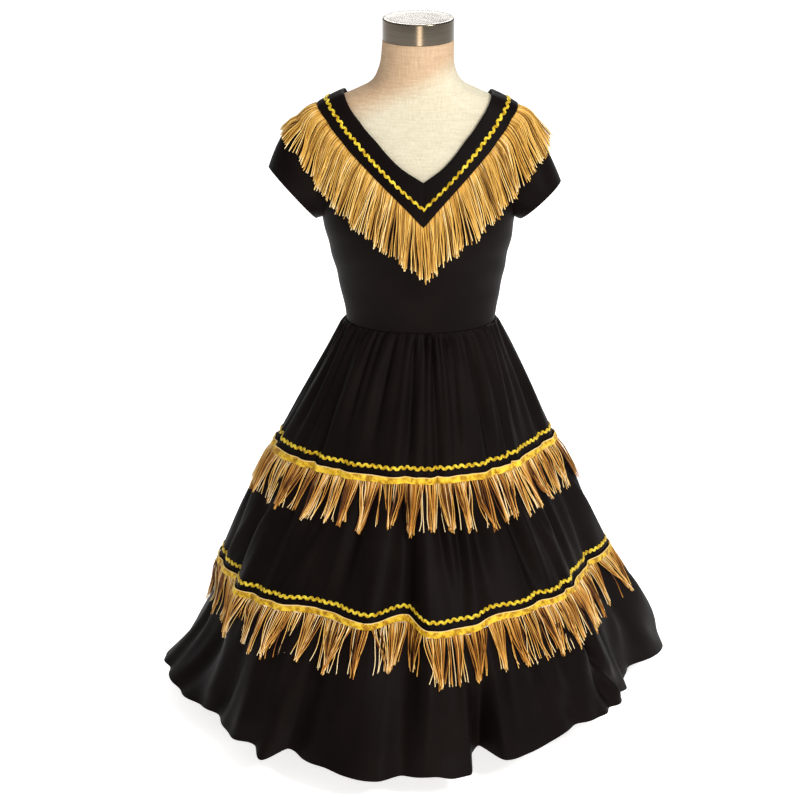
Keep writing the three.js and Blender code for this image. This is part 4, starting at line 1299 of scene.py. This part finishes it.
def make_floor():
    look = Look("studio_floor", Roughness=1, Specular_IOR_Level=0, Emission_Color=(1, 1, 1, 1),
                Emission_Strength=0.75)
    look.colour(look.noise(3, 2), [(0.3, (0.93, 0.93, 0.93)), (0.7, (0.95, 0.95, 0.95))])
    angle = np.linspace(0, 2 * math.pi, 65)
    radius = np.array([0, 1, 6, 40])[:, None]
    grid = stack(radius * np.cos(angle), radius * np.sin(angle), -0.0002)
    faces = grid_faces(grid, np.broadcast_to(np.array([0, 0, 1.0]), grid.shape))
    mesh = bpy.data.meshes.new("floor")
    mesh.from_pydata(grid.reshape(-1, 3).tolist(), [], faces.tolist())
    mesh.materials.append(look.material)
    floor = add("floor", mesh)


def make_camera():
    data = bpy.data.cameras.new("camera")
    data.sensor_width = 36
    data.lens = CAMERA_LENS
    camera = add("camera", data)
    camera.location = CAMERA_PLACE
    camera.rotation_euler = (QUARTER - math.radians(CAMERA_DIP), 0, 0)
    bpy.context.scene.camera = camera


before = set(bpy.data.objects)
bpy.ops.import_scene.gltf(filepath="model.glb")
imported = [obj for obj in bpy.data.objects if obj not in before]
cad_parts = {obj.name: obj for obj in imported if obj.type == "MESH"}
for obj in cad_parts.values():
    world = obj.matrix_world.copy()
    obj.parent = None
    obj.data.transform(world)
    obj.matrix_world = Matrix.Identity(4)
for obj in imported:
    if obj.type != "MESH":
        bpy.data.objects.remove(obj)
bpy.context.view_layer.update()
make_camera()

CREPE = cloth_material()
THREAD = thread_material()
# In both braids the dark brown first stop is painted shade between the threads
RICRAC = braid_material("gold_ricrac", [
    (0.42, (0.24, 0.11, 0.004)),
    (0.56, (0.62, 0.37, 0.006)),
    (0.74, (0.83, 0.58, 0.014)),
    (0.98, (0.92, 0.75, 0.08)),
], 0.38, 0.15, 2.2, 110)
GIMP = braid_material("gold_gimp", [
    (0.44, (0.18, 0.055, 0.004)),
    (0.60, (0.66, 0.34, 0.008)),
    (0.78, (0.87, 0.55, 0.015)),
    (1.0, (0.94, 0.70, 0.07)),
], 0.42, 0.1, 2.6, 100)
NECK_YARN = yarn_material("golden_yarn", [
    (0.0, (0.06, 0.028, 0.008)),
    (0.3, (0.32, 0.15, 0.026)),
    (0.58, (0.65, 0.355, 0.062)),
    (0.82, (0.82, 0.53, 0.15)),
    (1.0, (0.93, 0.74, 0.40)),
])
# Painted shade: a darker, browner copy of the golden yarn, for the skirt's fringes
SHADED_ROW_YARN = yarn_material("shaded_golden_yarn", [
    (0.0, (0.024, 0.007, 0.002)),
    (0.25, (0.17, 0.055, 0.012)),
    (0.5, (0.57, 0.245, 0.036)),
    (0.78, (0.83, 0.50, 0.125)),
    (1.0, (0.94, 0.74, 0.42)),
])
LINEN = linen_material()
STEEL = steel_material()
PAINT = paint_material()

make_form()
make_stand()
bodice = make_bodice()
sleeves = make_sleeves()
bands = make_neckbands()
neck_fringe = make_neck_fringe(bodice["front"] + bodice["back"] + sleeves)
tape_line, tape_normals = neck_line(NECK_TAPE_PLACE, 120)
beyond_line, _ = neck_line(NECK_TAPE_PLACE + 0.1, 120)
tape_lift = BAND_LIFT + BAND_WALL + 0.1
tape_down = unit(beyond_line - tape_line)
neck_tape = zigzag("neck_ricrac_tape", tape_line, tape_normals, tape_down, tape_lift, ["neck_ricrac"])

tiers = [make_tier(tier) for tier in (0, 1, 2)]
rows = [make_row(0, 41, 23), make_row(1, 54, 21), []]
hem_point, hem_normal, _ = row_line(2, HEM_STITCH_PLACE)
stitches("skirt_hem_stitching", hem_point + hem_normal * (CLOTH + STITCH_LIFT), hem_normal)

make_floor()
make_studio()
